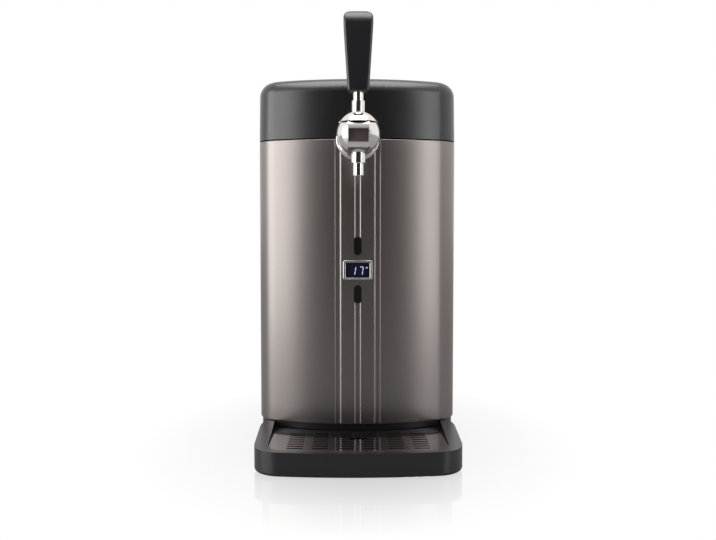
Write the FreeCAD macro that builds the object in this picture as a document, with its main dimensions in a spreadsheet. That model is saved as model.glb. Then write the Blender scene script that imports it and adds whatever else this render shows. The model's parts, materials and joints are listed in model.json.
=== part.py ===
import FreeCAD, Part
import Sketcher
import math
import os
import re

os.makedirs("parts", exist_ok=True)

Vector = FreeCAD.Vector
Rotation = FreeCAD.Rotation

doc = FreeCAD.newDocument("KegDispenser")

# Driving dimensions in millimetres. X is the width, -Y the front, +Z up from the floor.
SIZES = {
    # housing
    "bodyWidth": 280, "frontFace": 105.5, "rearFace": 225, "frontRadius": 283,
    "cornerRadius": 44, "rearCornerRadius": 40, "skinBottom": 42.4, "seamHeight": 437.5,
    "skinWall": 2, "slipGap": 0.4, "runGap": 0.05, "fluteWidth": 7.5, "fluteDepth": 0.7,
    "fluteSpacing": 27.5, "footRadius": 10, "footHeight": 6.5, "footInset": 30, "plateWall": 3,
    "plinthHeight": 56, "seatDepth": 0.5, "pillarRadius": 8, "pillarInset": 35, "pillarReach": 50,
    "postWidth": 12, "hingeNotch": 13, "screwHead": 2.2, "panelScrewLength": 10,
    # rear panel
    "panelInset": 40, "panelDepth": 7, "panelWall": 2.5, "panelDrop": 8,
    "ventLength": 90, "ventHeight": 4, "ventPitch": 9, "ventCount": 11, "intakeCount": 5, "intakeHeight": 150,
    # lid
    "lidHeight": 83.4, "lidGap": 0.6, "lidWall": 3, "lidEdge": 20, "linerWall": 2.5,
    "linerRise": 1.5, "linerCupRadius": 60, "linerCupHeight": 30, "lidFoamInset": 30, "sealRadius": 93,
    "sealWidth": 6, "hingeInset": 5.5, "lidScrewLength": 14, "lidScrewHead": 1.4, "knuckleRadius": 5,
    "knuckleWidth": 12, "hingeOffset": 58,
    "pinRadius": 2, "reliefDepth": 7.5, "bossRadius": 5,
    # keg chamber and deck
    "chamberRadius": 87, "chamberY": 8, "chamberFloor": 150, "chamberWall": 1.5, "deckDepth": 12,
    "foamBottom": 138, "foamRear": 105,
    # cooling
    "coolHeight": 300, "coldBlockWidth": 80, "coldBlockDepth": 15, "moduleWidth": 40, "moduleDepth": 4,
    "sinkWidth": 100, "sinkBase": 6, "finDepth": 35, "finWall": 1.5, "finPitch": 7.5, "fanWidth": 92,
    "fanDepth": 25, "fanBore": 43, "fanHub": 19, "fanScrewPitch": 82.5, "screwRadius": 1.75,
    # base electrics
    "supplyLength": 110, "supplyWidth": 76, "supplyHeight": 38, "boardLength": 90, "boardWidth": 70,
    "boardWall": 1.6, "standoff": 5, "inletHeight": 80, "inletX": 62, "switchX": 20,
    # display and buttons
    "bezelWidth": 40.8, "bezelHeight": 27.4, "bezelProud": 1.6, "windowWidth": 32.9,
    "windowHeight": 20.7, "displayHeight": 256.7, "buttonWidth": 10.5, "buttonLength": 25.4,
    "buttonSpacing": 33.3, "buttonProud": 0.8, "buttonTravel": 1.2, "keyGap": 0.3,
    # tap
    "tapReach": 66.5, "tapDrop": 1.5, "ballRadius": 28.3, "bandRadius": 25.2, "bandWidth": 27,
    "neckRadius": 15, "shankRadius": 12, "flangeRadius": 29.75, "flangeDepth": 6, "flangeEdge": 2,
    "nutRadius": 19,
    "nutDepth": 8, "windowPlateWidth": 25.4, "windowPlateHeight": 16.8, "windowDrop": 3.5,
    "recessDepth": 5.4, "capWall": 0.9, "capGap": 0.3, "capRise": 15, "capReveal": 2.2, "capStep": 2.5,
    "leverPin": 3, "hubRadius": 6.8,
    "armWidth": 7.6, "armDepth": 8, "stemRadius": 8.7, "stemRise": 42, "collarRadius": 6.85,
    "studRadius": 4, "collarHeight": 11.2, "gripLength": 103.8, "gripWidth": 38.2, "gripFoot": 27.6,
    "gripDepth": 23, "gripCrown": 19, "gripShoulder": 10, "gripRound": 17, "gripEdge": 4,
    "spoutRadius": 9.15, "spoutTip": 6.85,
    "spoutDrop": 19.5, "spoutStepDrop": 37.3, "spoutLowDrop": 53.4, "spoutBore": 4.6,
    # drip tray
    "trayFront": 225, "trayInset": 4.5, "trayFrontRadius": 750, "trayCorner": 38, "trayLip": 33,
    "trayHorn": 42, "trayFloor": 4, "trayLift": 1, "trayEdge": 5, "trayWall": 3, "grilleInset": 18.5,
    "grilleGap": 2.2,
    "grilleWall": 2.4, "grilleFront": 213, "grilleLedge": 5, "slotLength": 21, "slotWidth": 4.2,
    "slotPitch": 32.8, "rowPitch": 11, "slotColumns": 6, "slotRows": 8, "fingerWidth": 24, "fingerDepth": 11,
    "fingerReach": 42, "tongueX": 60, "tongueWidth": 16, "tongueLow": 12, "tongueWall": 4,
}

sheet = doc.addObject("Spreadsheet::Sheet", "Sizes")
for row, (name, size) in enumerate(SIZES.items(), start=1):
    sheet.set(f"A{row}", name)
    sheet.set(f"B{row}", str(size))
    sheet.setAlias(f"B{row}", name)
doc.recompute()

WORD = re.compile(r"\b[A-Za-z]+\b")
pieces = []


def sized(text):
    """Put the sheet's name before each size that an expression uses."""
    return WORD.sub(lambda m: "Sizes." + m.group() if m.group() in SIZES else m.group(), str(text))


def value(text):
    """The number that an expression of sheet sizes gives."""
    return float(sheet.evalExpression(sized(text)))


def bind(item, prop, text):
    item.setExpression(prop, sized(text))


def place(item, at, turn=None):
    if turn:
        item.Placement = FreeCAD.Placement(Vector(0, 0, 0), turn)
    for axis, text in zip("xyz", at):
        bind(item, f"Placement.Base.{axis}", text)


def keep(item, label):
    """Name a finished piece, which is written to a file of that name."""
    item.Label = label
    pieces.append(item)
    return item


def new_body(label):
    body = doc.addObject("PartDesign::Body", "Body")
    return keep(body, label)


ALONG = {"Z": None, "Y": Rotation(Vector(1, 0, 0), -90), "X": Rotation(Vector(0, 1, 0), 90)}


def block(body, at, size, cut=False):
    """Add or cut a box given by its lowest corner and its size."""
    kind = "PartDesign::SubtractiveBox" if cut else "PartDesign::AdditiveBox"
    box = body.newObject(kind, "Block")
    for prop, text in zip(("Length", "Width", "Height"), size):
        bind(box, prop, text)
    place(box, at)
    return box


def rod(body, at, radius, length, along="Z", cut=False):
    """Add or cut a cylinder that starts at a point and runs along one axis."""
    kind = "PartDesign::SubtractiveCylinder" if cut else "PartDesign::AdditiveCylinder"
    cylinder = body.newObject(kind, "Rod")
    bind(cylinder, "Radius", radius)
    bind(cylinder, "Height", length)
    place(cylinder, at, ALONG[along])
    return cylinder


def ball(body, at, radius, cut=False):
    kind = "PartDesign::SubtractiveSphere" if cut else "PartDesign::AdditiveSphere"
    sphere = body.newObject(kind, "Ball")
    bind(sphere, "Radius", radius)
    place(sphere, at)
    return sphere


def origin_plane(body, role):
    return [item for item in body.Origin.OriginFeatures if item.Role == role][0]


def new_sketch(body, plane="XY_Plane", level="0"):
    sketch = body.newObject("Sketcher::SketchObject", "Sketch")
    sketch.AttachmentSupport = [(origin_plane(body, plane), "")]
    sketch.MapMode = "FlatFace"
    bind(sketch, "AttachmentOffset.Base.z", level)
    return sketch


def fix(sketch, kind, *where, size=None):
    """Add a constraint, bound to sheet sizes where a size is given."""
    if size is None:
        return sketch.addConstraint(Sketcher.Constraint(kind, *where))
    index = sketch.addConstraint(Sketcher.Constraint(kind, *where, value(size)))
    bind(sketch, f"Constraints[{index}]", size)
    return index


def chain(sketch, shapes, joint="Coincident"):
    """Draw shapes end to end and close them."""
    ids = [sketch.addGeometry(shape, False) for shape in shapes]
    for here, after in zip(ids, ids[1:] + ids[:1]):
        fix(sketch, joint, here, 2, after, 1)
    return ids


def arc(centre, radius, start, end):
    circle = Part.Circle(Vector(centre[0], centre[1], 0), Vector(0, 0, 1), radius)
    return Part.ArcOfCircle(circle, start, end)


def line(start, end):
    return Part.LineSegment(Vector(start[0], start[1], 0), Vector(end[0], end[1], 0))


def rounded_plan(sketch, half_width, front, rear, front_radius, corner, rear_corner):
    """A plan with a bulged front: one wide arc, two round corners, straight sides, two rear corners."""
    half, near, far = value(half_width), value(front), value(rear)
    bulge, round_front, round_rear = value(front_radius), value(corner), value(rear_corner)
    bulge_y = near + bulge
    corner_x = half - round_front
    corner_y = bulge_y - math.sqrt((bulge - round_front) ** 2 - corner_x ** 2)
    tilt = math.atan2(bulge_y - corner_y, corner_x)
    rear_x, rear_y = half - round_rear, far - round_rear
    quarter = math.pi / 2
    ids = chain(sketch, [
        arc((0, bulge_y), bulge, -math.pi + tilt, -tilt),
        arc((corner_x, corner_y), round_front, -tilt, 0),
        line((half, corner_y), (half, rear_y)),
        arc((rear_x, rear_y), round_rear, 0, quarter),
        line((rear_x, far), (-rear_x, far)),
        arc((-rear_x, rear_y), round_rear, quarter, 2 * quarter),
        line((-half, rear_y), (-half, corner_y)),
        arc((-corner_x, corner_y), round_front, 2 * quarter, 2 * quarter + tilt),
    ], "Tangent")
    bow, right_front, right, right_rear, back, left_rear, left, left_front = ids
    fix(sketch, "Vertical", right)
    fix(sketch, "Vertical", left)
    fix(sketch, "Horizontal", back)
    fix(sketch, "PointOnObject", bow, 3, -2)
    fix(sketch, "Radius", bow, size=front_radius)
    for which in (right_front, left_front):
        fix(sketch, "Radius", which, size=corner)
    for which in (right_rear, left_rear):
        fix(sketch, "Radius", which, size=rear_corner)
    fix(sketch, "DistanceX", -1, 1, right, 1, size=half_width)
    fix(sketch, "DistanceX", left, 1, -1, 1, size=half_width)
    fix(sketch, "DistanceY", -1, 1, back, 1, size=rear)
    fix(sketch, "DistanceY", -1, 1, bow, 3, size=f"{front} + {front_radius}")


def housing_plan(body, level, inset="0"):
    """The housing's outline seen from above, drawn in by an inset, or out where it is negative."""
    sketch = new_sketch(body, "XY_Plane", level)
    rounded_plan(
        sketch, f"bodyWidth / 2 - ({inset})", f"({inset}) - frontFace", f"rearFace - ({inset})",
        f"frontRadius - ({inset})", f"cornerRadius - ({inset})", f"rearCornerRadius - ({inset})")
    return sketch


def pad(body, sketch, length, taper=0.0):
    feature = body.newObject("PartDesign::Pad", "Pad")
    feature.Profile = sketch
    bind(feature, "Length", length)
    if taper:
        feature.TaperAngle = taper
    return feature


def pocket(body, sketch, depth, upward=True):
    feature = body.newObject("PartDesign::Pocket", "Pocket")
    feature.Profile = sketch
    bind(feature, "Length", depth)
    feature.Reversed = upward
    return feature


def polygon(body, points, plane, level):
    """A closed sketch of straight runs whose corners are bound to sheet sizes."""
    sketch = new_sketch(body, plane, level)
    corners = [(value(x), value(y)) for x, y in points]
    ids = chain(sketch, [line(a, b) for a, b in zip(corners, corners[1:] + corners[:1])])
    for which, (x, y) in zip(ids, points):
        for kind, text in (("DistanceX", x), ("DistanceY", y)):
            if abs(value(text)) < 1e-9:
                fix(sketch, "PointOnObject", which, 1, -2 if kind == "DistanceX" else -1)
            else:
                fix(sketch, kind, -1, 1, which, 1, size=text)
    return sketch


def stadium(body, middle, width, length, plane, level):
    """A slot shape that stands upright on a sketch plane, round at both ends."""
    sketch = new_sketch(body, plane, level)
    cx, cy = value(middle[0]), value(middle[1])
    radius, reach = value(width) / 2, (value(length) - value(width)) / 2
    ids = chain(sketch, [
        arc((cx, cy + reach), radius, 0, math.pi),
        line((cx - radius, cy + reach), (cx - radius, cy - reach)),
        arc((cx, cy - reach), radius, math.pi, 2 * math.pi),
        line((cx + radius, cy - reach), (cx + radius, cy + reach)),
    ], "Tangent")
    fix(sketch, "Vertical", ids[1])
    fix(sketch, "Radius", ids[0], size=f"({width}) / 2")
    fix(sketch, "PointOnObject", ids[0], 3, -2)
    fix(sketch, "DistanceY", -1, 1, ids[0], 3, size=f"({middle[1]}) + (({length}) - ({width})) / 2")
    fix(sketch, "DistanceY", -1, 1, ids[2], 3, size=f"({middle[1]}) - (({length}) - ({width})) / 2")
    return sketch


def edge_names(feature, wanted):
    doc.recompute()
    return [f"Edge{n}" for n, edge in enumerate(feature.Shape.Edges, start=1) if wanted(edge)]


def dress(body, kind, feature, wanted, size):
    """Round or bevel the edges that a test picks out."""
    names = edge_names(feature, wanted)
    item = body.newObject(f"PartDesign::{kind}", kind)
    item.Base = (feature, names)
    bind(item, "Radius" if kind == "Fillet" else "Size", size)
    return item


def lies_at(edge, axis, level, near=0.01):
    box = edge.BoundBox
    low, high = (box.XMin, box.XMax) if axis == "X" else (box.YMin,
                                                          box.YMax) if axis == "Y" else (box.ZMin, box.ZMax)
    return abs(low - level) < near and abs(high - level) < near


def screw(body, at, length):
    """A screw that is driven forwards, with its pan head behind the given point."""
    x, y, z = at
    rod(body, (x, f"({y}) - ({length})", z), "screwRadius", length, "Y")
    rod(body, at, "screwRadius * 1.9", "screwHead", "Y")
    rod(body, (x, f"({y}) + screwHead * 0.6", z), "screwRadius * 0.8", "screwHead", "Y", cut=True)


# Places that several pieces share
FRONT = "-frontFace"
TAP_Y = "-frontFace - tapReach"
TAP_Z = "(seamHeight - tapDrop)"
LID_TOP = "(seamHeight + lidHeight)"
PANEL_TOP = "(seamHeight - panelDrop)"
PANEL_HALF = "(bodyWidth / 2 - panelInset)"
STEM_TOP = f"({TAP_Z} + stemRise)"
GRIP_LOW = f"({STEM_TOP} + collarHeight)"
GRIP_TOP = f"({GRIP_LOW} + gripLength)"
GRIP_WIDEST = f"({GRIP_TOP} - gripCrown)"
SPOUT_TOP = f"({TAP_Z} - spoutDrop)"
SPOUT_STEP = f"({TAP_Z} - spoutStepDrop)"
SPOUT_LOW = f"({TAP_Z} - spoutLowDrop)"
TRAY_HALF = "(bodyWidth / 2 - trayInset)"
GRILLE_HALF = f"({TRAY_HALF} - grilleInset)"
PIN_Y = "rearFace - hingeInset"
LID_LOW = "seamHeight + lidGap"
DECK_LOW = "seamHeight - deckDepth"
INNER = "skinWall + slipGap"


# Base plate: a pan under the housing, with its plinth inside the skin

base = new_body("base_plate")
base_low = "footHeight - seatDepth"
pad(base, housing_plan(base, base_low, INNER), f"plinthHeight - ({base_low})")
pocket(base, housing_plan(base, f"{base_low} + plateWall", f"{INNER} + plateWall"), "plinthHeight")
FEET = [(side, end) for side in (-1, 1) for end in (-1, 1)]


def foot_place(side, end):
    x = f"{side} * (bodyWidth / 2 - footInset)"
    bow = "frontRadius - sqrt(frontRadius ^ 2 - (bodyWidth / 2 - footInset) ^ 2)"
    y = f"{bow} - frontFace + footRadius + skinWall * 2" if end < 0 else "rearFace - footInset"
    return x, y


for side, end in FEET:
    x, y = foot_place(side, end)
    rod(base, (x, y, base_low), "footRadius + slipGap / 2", "seatDepth", cut=True)
# rear wall drops where the rear panel stands
block(base, (f"-{PANEL_HALF} - slipGap", "rearFace - 30", "skinBottom + slipGap"),
      (f"2 * ({PANEL_HALF} + slipGap)", "40", "plinthHeight"), cut=True)
# slots in the plinth for the tray's two tongues
for side in (-1, 1):
    block(base, (f"{side} * tongueX - tongueWidth / 2 - slipGap", "-frontFace - 1", "tongueLow - slipGap"),
          ("tongueWidth + 2 * slipGap", "20", "tongueWall + 2 * slipGap"), cut=True)
# pillars that carry the insulation, and posts for the rear panel's screws
for side, end in FEET:
    rod(base, (f"{side} * (bodyWidth / 2 - pillarInset)", f"{end} * pillarReach", f"{base_low} + plateWall"),
        "pillarRadius", f"foamBottom - ({base_low}) - plateWall")
POST_X = f"{PANEL_HALF} - postWidth"
PANEL_IN = "rearFace - panelDepth"
for side in (-1, 1):
    block(base, (f"{side} * ({POST_X}) - postWidth / 2", f"{PANEL_IN} - postWidth", base_low),
          ("postWidth", "postWidth - 0.2", f"plinthHeight + 14 - ({base_low})"))
LOW_SCREW_Z = "plinthHeight + 6"
for side in (-1, 1):
    rod(base, (f"{side} * ({POST_X})", f"{PANEL_IN} - 11", LOW_SCREW_Z), "screwRadius + runGap", "14",
        "Y", cut=True)
# standoffs for the power supply and the control board
SUPPLY_AT = ("-120", "70")
BOARD_AT = ("14", "70")
SHELF = f"{base_low} + plateWall + standoff"


def corners(at, length, width, inset):
    """The four corner points of a flat piece, drawn in by an inset."""
    x, y = at
    across, deep = (inset, f"{length} - {inset}"), (inset, f"{width} - {inset}")
    return [(f"{x} + {a}", f"{y} + {b}") for a in across for b in deep]


for x, y in corners(SUPPLY_AT, "supplyLength", "supplyWidth", "8") + corners(BOARD_AT, "boardLength",
                                                                             "boardWidth", "5"):
    rod(base, (x, y, f"{base_low} + plateWall - 0.5"), "3.5", "standoff + 0.5")

feet = new_body("rubber_feet")
for side, end in FEET:
    x, y = foot_place(side, end)
    rod(feet, (x, y, "0"), "footRadius", "footHeight")

# Outer shell: the smooth skin, open at the back for the rear panel

shell = new_body("outer_shell")
pad(shell, housing_plan(shell, "skinBottom"), "seamHeight - skinBottom")
pocket(shell, housing_plan(shell, "skinBottom - 1", "skinWall"), "seamHeight")
block(shell, (f"-{PANEL_HALF}", "rearFace - 20", "skinBottom - 1"),
      (f"2 * {PANEL_HALF}", "40", "seamHeight"), cut=True)
block(shell, ("-bodyWidth", "rearFace - hingeNotch", "seamHeight - reliefDepth"),
      ("2 * bodyWidth", "40", "40"), cut=True)
rod(shell, ("0", "-frontFace - 20", TAP_Z), "neckRadius + slipGap", "60", "Y", cut=True)


def flute(body, middle, low, high):
    """A shallow upright channel that follows the front's curve."""

    def surface(at, depth="0"):
        return f"{FRONT} + frontRadius - sqrt((frontRadius - {depth}) ^ 2 - ({at}) ^ 2)"
    left, right = f"({middle}) - fluteWidth / 2", f"({middle}) + fluteWidth / 2"
    points = [(left, f"{FRONT} - 2"), (left, surface(left, "fluteDepth")),
              (right, surface(right, "fluteDepth")),
              (right, f"{FRONT} - 2")]
    pocket(body, polygon(body, points, "XY_Plane", low), f"({high}) - ({low})")


UPPER_Z = "displayHeight + buttonSpacing"
LOWER_Z = "displayHeight - buttonSpacing"
for middle in ("-fluteSpacing", "fluteSpacing"):
    flute(shell, middle, "skinBottom - 1", "seamHeight + 1")
flute(shell, "0", "skinBottom - 1", f"{LOWER_Z} - buttonLength / 2 + fluteWidth / 3")
flute(shell, "0", f"{UPPER_Z} + buttonLength / 2 - fluteWidth / 3", "seamHeight + 1")
for height in (UPPER_Z, LOWER_Z):
    hole = stadium(shell, ("0", height), "buttonWidth", "buttonLength", "XZ_Plane", "frontFace - 10")
    pocket(shell, hole, "20")
block(shell, ("-bezelWidth / 2 + 2", "-frontFace - 5", "displayHeight - bezelHeight / 2 + 2"),
      ("bezelWidth - 4", "15", "bezelHeight - 4"), cut=True)

# Rear panel: a shallow pan with louvre slots, the mains inlet and the power switch

panel = new_body("rear_panel")
panel_low = "skinBottom + 2 * slipGap"
block(panel, (f"-{PANEL_HALF} + slipGap", PANEL_IN, panel_low),
      (f"2 * ({PANEL_HALF} - slipGap)", "panelDepth", f"{PANEL_TOP} - ({panel_low})"))
block(panel, (f"-{PANEL_HALF} + slipGap + panelWall", f"{PANEL_IN} + panelWall", f"{panel_low} + panelWall"),
      (f"2 * ({PANEL_HALF} - slipGap - panelWall)", "panelDepth",
       f"{PANEL_TOP} - ({panel_low}) - 2 * panelWall"), cut=True)
HIGH_SCREW_Z = f"{DECK_LOW} - 8"
for side in (-1, 1):
    for height in (LOW_SCREW_Z, HIGH_SCREW_Z):
        rod(panel, (f"{side} * ({POST_X})", f"{PANEL_IN} - 1", height), "screwRadius + runGap", "20", "Y",
            cut=True)
INLET_WIDTH, INLET_HIGH, SWITCH_WIDTH, SWITCH_HIGH = "27", "20", "21", "15"
block(panel, (f"-inletX - {INLET_WIDTH} / 2", f"{PANEL_IN} - 1", f"inletHeight - {INLET_HIGH} / 2"),
      (INLET_WIDTH, "10", INLET_HIGH), cut=True)
block(panel, (f"-switchX - {SWITCH_WIDTH} / 2", f"{PANEL_IN} - 1", f"inletHeight - {SWITCH_HIGH} / 2"),
      (SWITCH_WIDTH, "10", SWITCH_HIGH), cut=True)


def louvres(body, middle, count):
    """A column of level slots, one above the other about a height."""
    lowest = f"{middle} - ({count} - 1) / 2 * ventPitch - ventHeight / 2"
    first = block(body, ("-ventLength / 2", f"{PANEL_IN} - 5", lowest),
                  ("ventLength", "20", "ventHeight"), cut=True)
    column = body.newObject("PartDesign::LinearPattern", "Louvres")
    column.Originals = [first]
    column.Direction = (origin_plane(body, "Z_Axis"), [""])
    bind(column, "Length", f"({count} - 1) * ventPitch")
    bind(column, "Occurrences", count)
    body.Tip = column


louvres(panel, "coolHeight", "ventCount")
louvres(panel, "intakeHeight", "intakeCount")

panel_screws = new_body("rear_panel_screws")
for side in (-1, 1):
    for height in (LOW_SCREW_Z, HIGH_SCREW_Z):
        screw(panel_screws, (f"{side} * ({POST_X})", f"{PANEL_IN} + panelWall", height), "panelScrewLength")

# Top deck: the ring round the keg mouth, with the tap's saddle and the lid's hinge ears

deck = new_body("top_deck")
pad(deck, housing_plan(deck, DECK_LOW, INNER), "deckDepth - slipGap")
rod(deck, ("0", "chamberY", f"{DECK_LOW} - 5"), "chamberRadius", "deckDepth + 10", cut=True)
rod(deck, ("0", "-frontFace - 5", TAP_Z), "shankRadius + slipGap", "60", "Y", cut=True)
rod(deck, ("0", "-frontFace + 5.5", TAP_Z), "nutRadius + slipGap", "nutDepth + 0.6", "Y", cut=True)
block(deck, ("-bodyWidth", "rearFace - hingeNotch", "seamHeight - reliefDepth"),
      ("2 * bodyWidth", "40", "40"), cut=True)
block(deck, (f"-{PANEL_HALF} - slipGap", f"{PANEL_IN} - 0.2", "0"),
      (f"2 * ({PANEL_HALF} + slipGap)", "40", "seamHeight"), cut=True)
for side in (-1, 1):
    block(deck, (f"{side} * ({POST_X}) - postWidth / 2", f"{PANEL_IN} - postWidth", f"{DECK_LOW} - 16"),
          ("postWidth", "postWidth - 0.2", "17"))
    rod(deck, (f"{side} * ({POST_X})", f"{PANEL_IN} - 11", HIGH_SCREW_Z), "screwRadius + runGap", "14",
        "Y", cut=True)
for side in (-1, 1):
    ear = f"{side} * hingeOffset - knuckleWidth / 2"
    rod(deck, (ear, PIN_Y, "seamHeight"), "knuckleRadius", "knuckleWidth", "X")
    block(deck, (ear, "rearFace - 18", f"{DECK_LOW} + 0.5"),
          ("knuckleWidth", "18 - hingeInset", "deckDepth - 0.5"))
    block(deck, (ear, f"{PANEL_IN} - 0.2", f"{DECK_LOW} - 1"),
          ("knuckleWidth", "20", f"{PANEL_TOP} + slipGap - seamHeight + deckDepth + 1"), cut=True)
    rod(deck, (f"{ear} - 5", PIN_Y, "seamHeight"), "pinRadius + runGap", "knuckleWidth + 10", "X", cut=True)

# Keg chamber: an aluminium cup that a 5-litre keg stands in

chamber = new_body("cooling_chamber")
chamber_top = f"{DECK_LOW} - slipGap / 2"
rod(chamber, ("0", "chamberY", "chamberFloor"), "chamberRadius + chamberWall",
    f"{chamber_top} - chamberFloor")
rod(chamber, ("0", "chamberY", f"{chamber_top} - chamberWall"), "chamberRadius + 6", "chamberWall")
rod(chamber, ("0", "chamberY", "chamberFloor + chamberWall"), "chamberRadius", "seamHeight", cut=True)

# Insulation jacket: foam moulded round the chamber

foam = new_body("insulation_jacket")
foam_top = f"{chamber_top} - chamberWall - slipGap"
pad(foam, housing_plan(foam, "foamBottom", f"{INNER} + 1"), f"{foam_top} - foamBottom")
block(foam, ("-bodyWidth", "foamRear", "0"), ("2 * bodyWidth", "200", "seamHeight"), cut=True)
rod(foam, ("0", "chamberY", "chamberFloor - slipGap / 2"), "chamberRadius + chamberWall + slipGap / 2",
    "seamHeight", cut=True)
block(foam, ("-coldBlockWidth / 2 - 1", "chamberY", "coolHeight - coldBlockWidth / 2 - 1"),
      ("coldBlockWidth + 2", "200", "coldBlockWidth + 2"), cut=True)
block(foam, ("-24", "-frontFace - 5", f"{LOWER_Z} - buttonLength / 2 - 12"),
      ("48", "21.5", "2 * buttonSpacing + buttonLength + 24"), cut=True)

rod(foam, ("0", "-frontFace + 3", TAP_Z), "nutRadius + 1", "nutDepth + 8", "Y", cut=True)

sensor = new_body("temperature_sensor")
rod(sensor, ("chamberRadius + chamberWall + 0.1", "chamberY - 6", "coolHeight - 60"), "2.5", "22")
rod(foam, ("chamberRadius + chamberWall + 0.1", "chamberY - 6", "coolHeight - 61"), "4", "24", cut=True)
rod(sensor, ("0", "chamberY", "chamberFloor"), "chamberRadius + chamberWall + 0.05", "seamHeight", cut=True)

# Cooling: cold block, thermoelectric module, finned heat sink, fan and its duct

BLOCK_BACK = "chamberY + chamberRadius + chamberWall + coldBlockDepth - 6"
cold = new_body("cold_block")
block(cold, ("-coldBlockWidth / 2", f"{BLOCK_BACK} - coldBlockDepth - 8", "coolHeight - coldBlockWidth / 2"),
      ("coldBlockWidth", "coldBlockDepth + 8", "coldBlockWidth"))
rod(cold, ("0", "chamberY", "chamberFloor"), "chamberRadius + chamberWall + runGap", "seamHeight", cut=True)

module = new_body("thermoelectric_module")
block(module, ("-moduleWidth / 2", BLOCK_BACK, "coolHeight - moduleWidth / 2"),
      ("moduleWidth", "moduleDepth", "moduleWidth"))

SINK_FRONT = f"{BLOCK_BACK} + moduleDepth"
sink = new_body("heat_sink")
block(sink, ("-sinkWidth / 2", SINK_FRONT, "coolHeight - sinkWidth / 2"),
      ("sinkWidth", "sinkBase", "sinkWidth"))
for side in (-1, 1):
    for step in (0.5, 1.5, 2.5, 3.5, 4.5, 6.5):
        block(sink, (f"{side * step} * finPitch - finWall / 2", f"{SINK_FRONT} + sinkBase",
                     "coolHeight - sinkWidth / 2"),
              ("finWall", "finDepth", "sinkWidth"))
FAN_CORNERS = [(side, end) for side in (-1, 1) for end in (-1, 1)]
for side, end in FAN_CORNERS:
    rod(sink, (f"{side} * fanScrewPitch / 2", f"{SINK_FRONT} - 1", f"coolHeight + {end} * fanScrewPitch / 2"),
        "screwRadius + runGap", "sinkBase + 2", "Y", cut=True)

FAN_FRONT = f"{SINK_FRONT} + sinkBase + finDepth"
fan = new_body("fan_frame")
block(fan, ("-fanWidth / 2", FAN_FRONT, "coolHeight - fanWidth / 2"), ("fanWidth", "fanDepth", "fanWidth"))
rod(fan, ("0", f"{FAN_FRONT} - 1", "coolHeight"), "fanBore", "fanDepth + 2", "Y", cut=True)
rod(fan, ("0", f"{FAN_FRONT} + fanDepth - 4", "coolHeight"), "fanHub", "4", "Y")
for angle in (0, 1):
    spoke = ("-fanBore - 1", f"{FAN_FRONT} + fanDepth - 3.5", "coolHeight - 2") if angle else \
        ("-2", f"{FAN_FRONT} + fanDepth - 3.5", "coolHeight - fanBore - 1")
    block(fan, spoke, ("2 * fanBore + 2", "3", "4") if angle else ("4", "3", "2 * fanBore + 2"))
rod(fan, ("0", f"{FAN_FRONT} + 5", "coolHeight"), "2", "fanDepth - 5", "Y")
for side, end in FAN_CORNERS:
    rod(fan, (f"{side} * fanScrewPitch / 2", f"{FAN_FRONT} - 1", f"coolHeight + {end} * fanScrewPitch / 2"),
        "screwRadius + runGap", "fanDepth + 2", "Y", cut=True)

rotor = new_body("fan_rotor")
rod(rotor, ("0", f"{FAN_FRONT} + 2", "coolHeight"), "fanHub", "fanDepth - 7", "Y")
BLADES = 7
for number in range(BLADES):
    blade = block(rotor, ("0", f"{FAN_FRONT} + fanDepth / 2 - 3", "coolHeight"), ("fanBore - 4", "1.6", "16"))
    turn = Rotation(Vector(0, 1, 0), 360.0 * number / BLADES).multiply(Rotation(Vector(1, 0, 0), 32))
    blade.Placement = FreeCAD.Placement(blade.Placement.Base, turn)
rod(rotor, ("0", f"{FAN_FRONT} + 4", "coolHeight"), "2 + runGap", "fanDepth", "Y", cut=True)

fan_screws = new_body("fan_screws")
for side, end in FAN_CORNERS:
    screw(fan_screws, (f"{side} * fanScrewPitch / 2", f"{FAN_FRONT} + fanDepth",
                       f"coolHeight + {end} * fanScrewPitch / 2"),
          "fanDepth + finDepth + sinkBase")

DUCT_FRONT = f"{FAN_FRONT} + fanDepth + 2.6"
duct = new_body("fan_duct")
block(duct, ("-ventLength / 2 - 5", DUCT_FRONT, "coolHeight - fanWidth / 2 - 5"),
      ("ventLength + 10", f"{PANEL_IN} - ({DUCT_FRONT}) - 0.2", "fanWidth + 10"))
block(duct, ("-ventLength / 2 - 3", f"{DUCT_FRONT} - 1", "coolHeight - fanWidth / 2 - 3"),
      ("ventLength + 6", "200", "fanWidth + 6"), cut=True)

# Electrics in the base

supply = new_body("power_supply")
sx, sy = SUPPLY_AT
block(supply, (sx, sy, SHELF), ("supplyLength", "supplyWidth", "supplyHeight"))
for number in range(1, 7):
    block(supply, (f"{sx} + {number} * supplyLength / 7", f"{sy} + supplyWidth / 6",
                   f"{SHELF} + supplyHeight * 0.97"),
          ("supplyLength / 18", "supplyWidth * 2 / 3", "supplyHeight"), cut=True)

board = new_body("control_board")
bx, by = BOARD_AT
block(board, (bx, by, SHELF), ("boardLength", "boardWidth", "boardWall"))


def on_board(along, across, size):
    """A block that stands on the board, placed and sized in parts of its length and width."""
    length, width, height = (f"boardLength * {part}" for part in size)
    block(board, (f"{bx} + boardLength * {along}", f"{by} + boardWidth * {across}", f"{SHELF} + boardWall"),
          (length, width, height))


on_board(0.1, 0.15, (0.21, 0.17, 0.17))
on_board(0.67, 0.15, (0.13, 0.33, 0.11))
on_board(0.42, 0.7, (0.27, 0.09, 0.03))
for along, across, radius, height in ((0.47, 0.3, 0.067, 0.22), (0.22, 0.72, 0.055, 0.18)):
    rod(board, (f"{bx} + boardLength * {along}", f"{by} + boardWidth * {across}", f"{SHELF} + boardWall"),
        f"boardLength * {radius}", f"boardLength * {height}")

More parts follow.
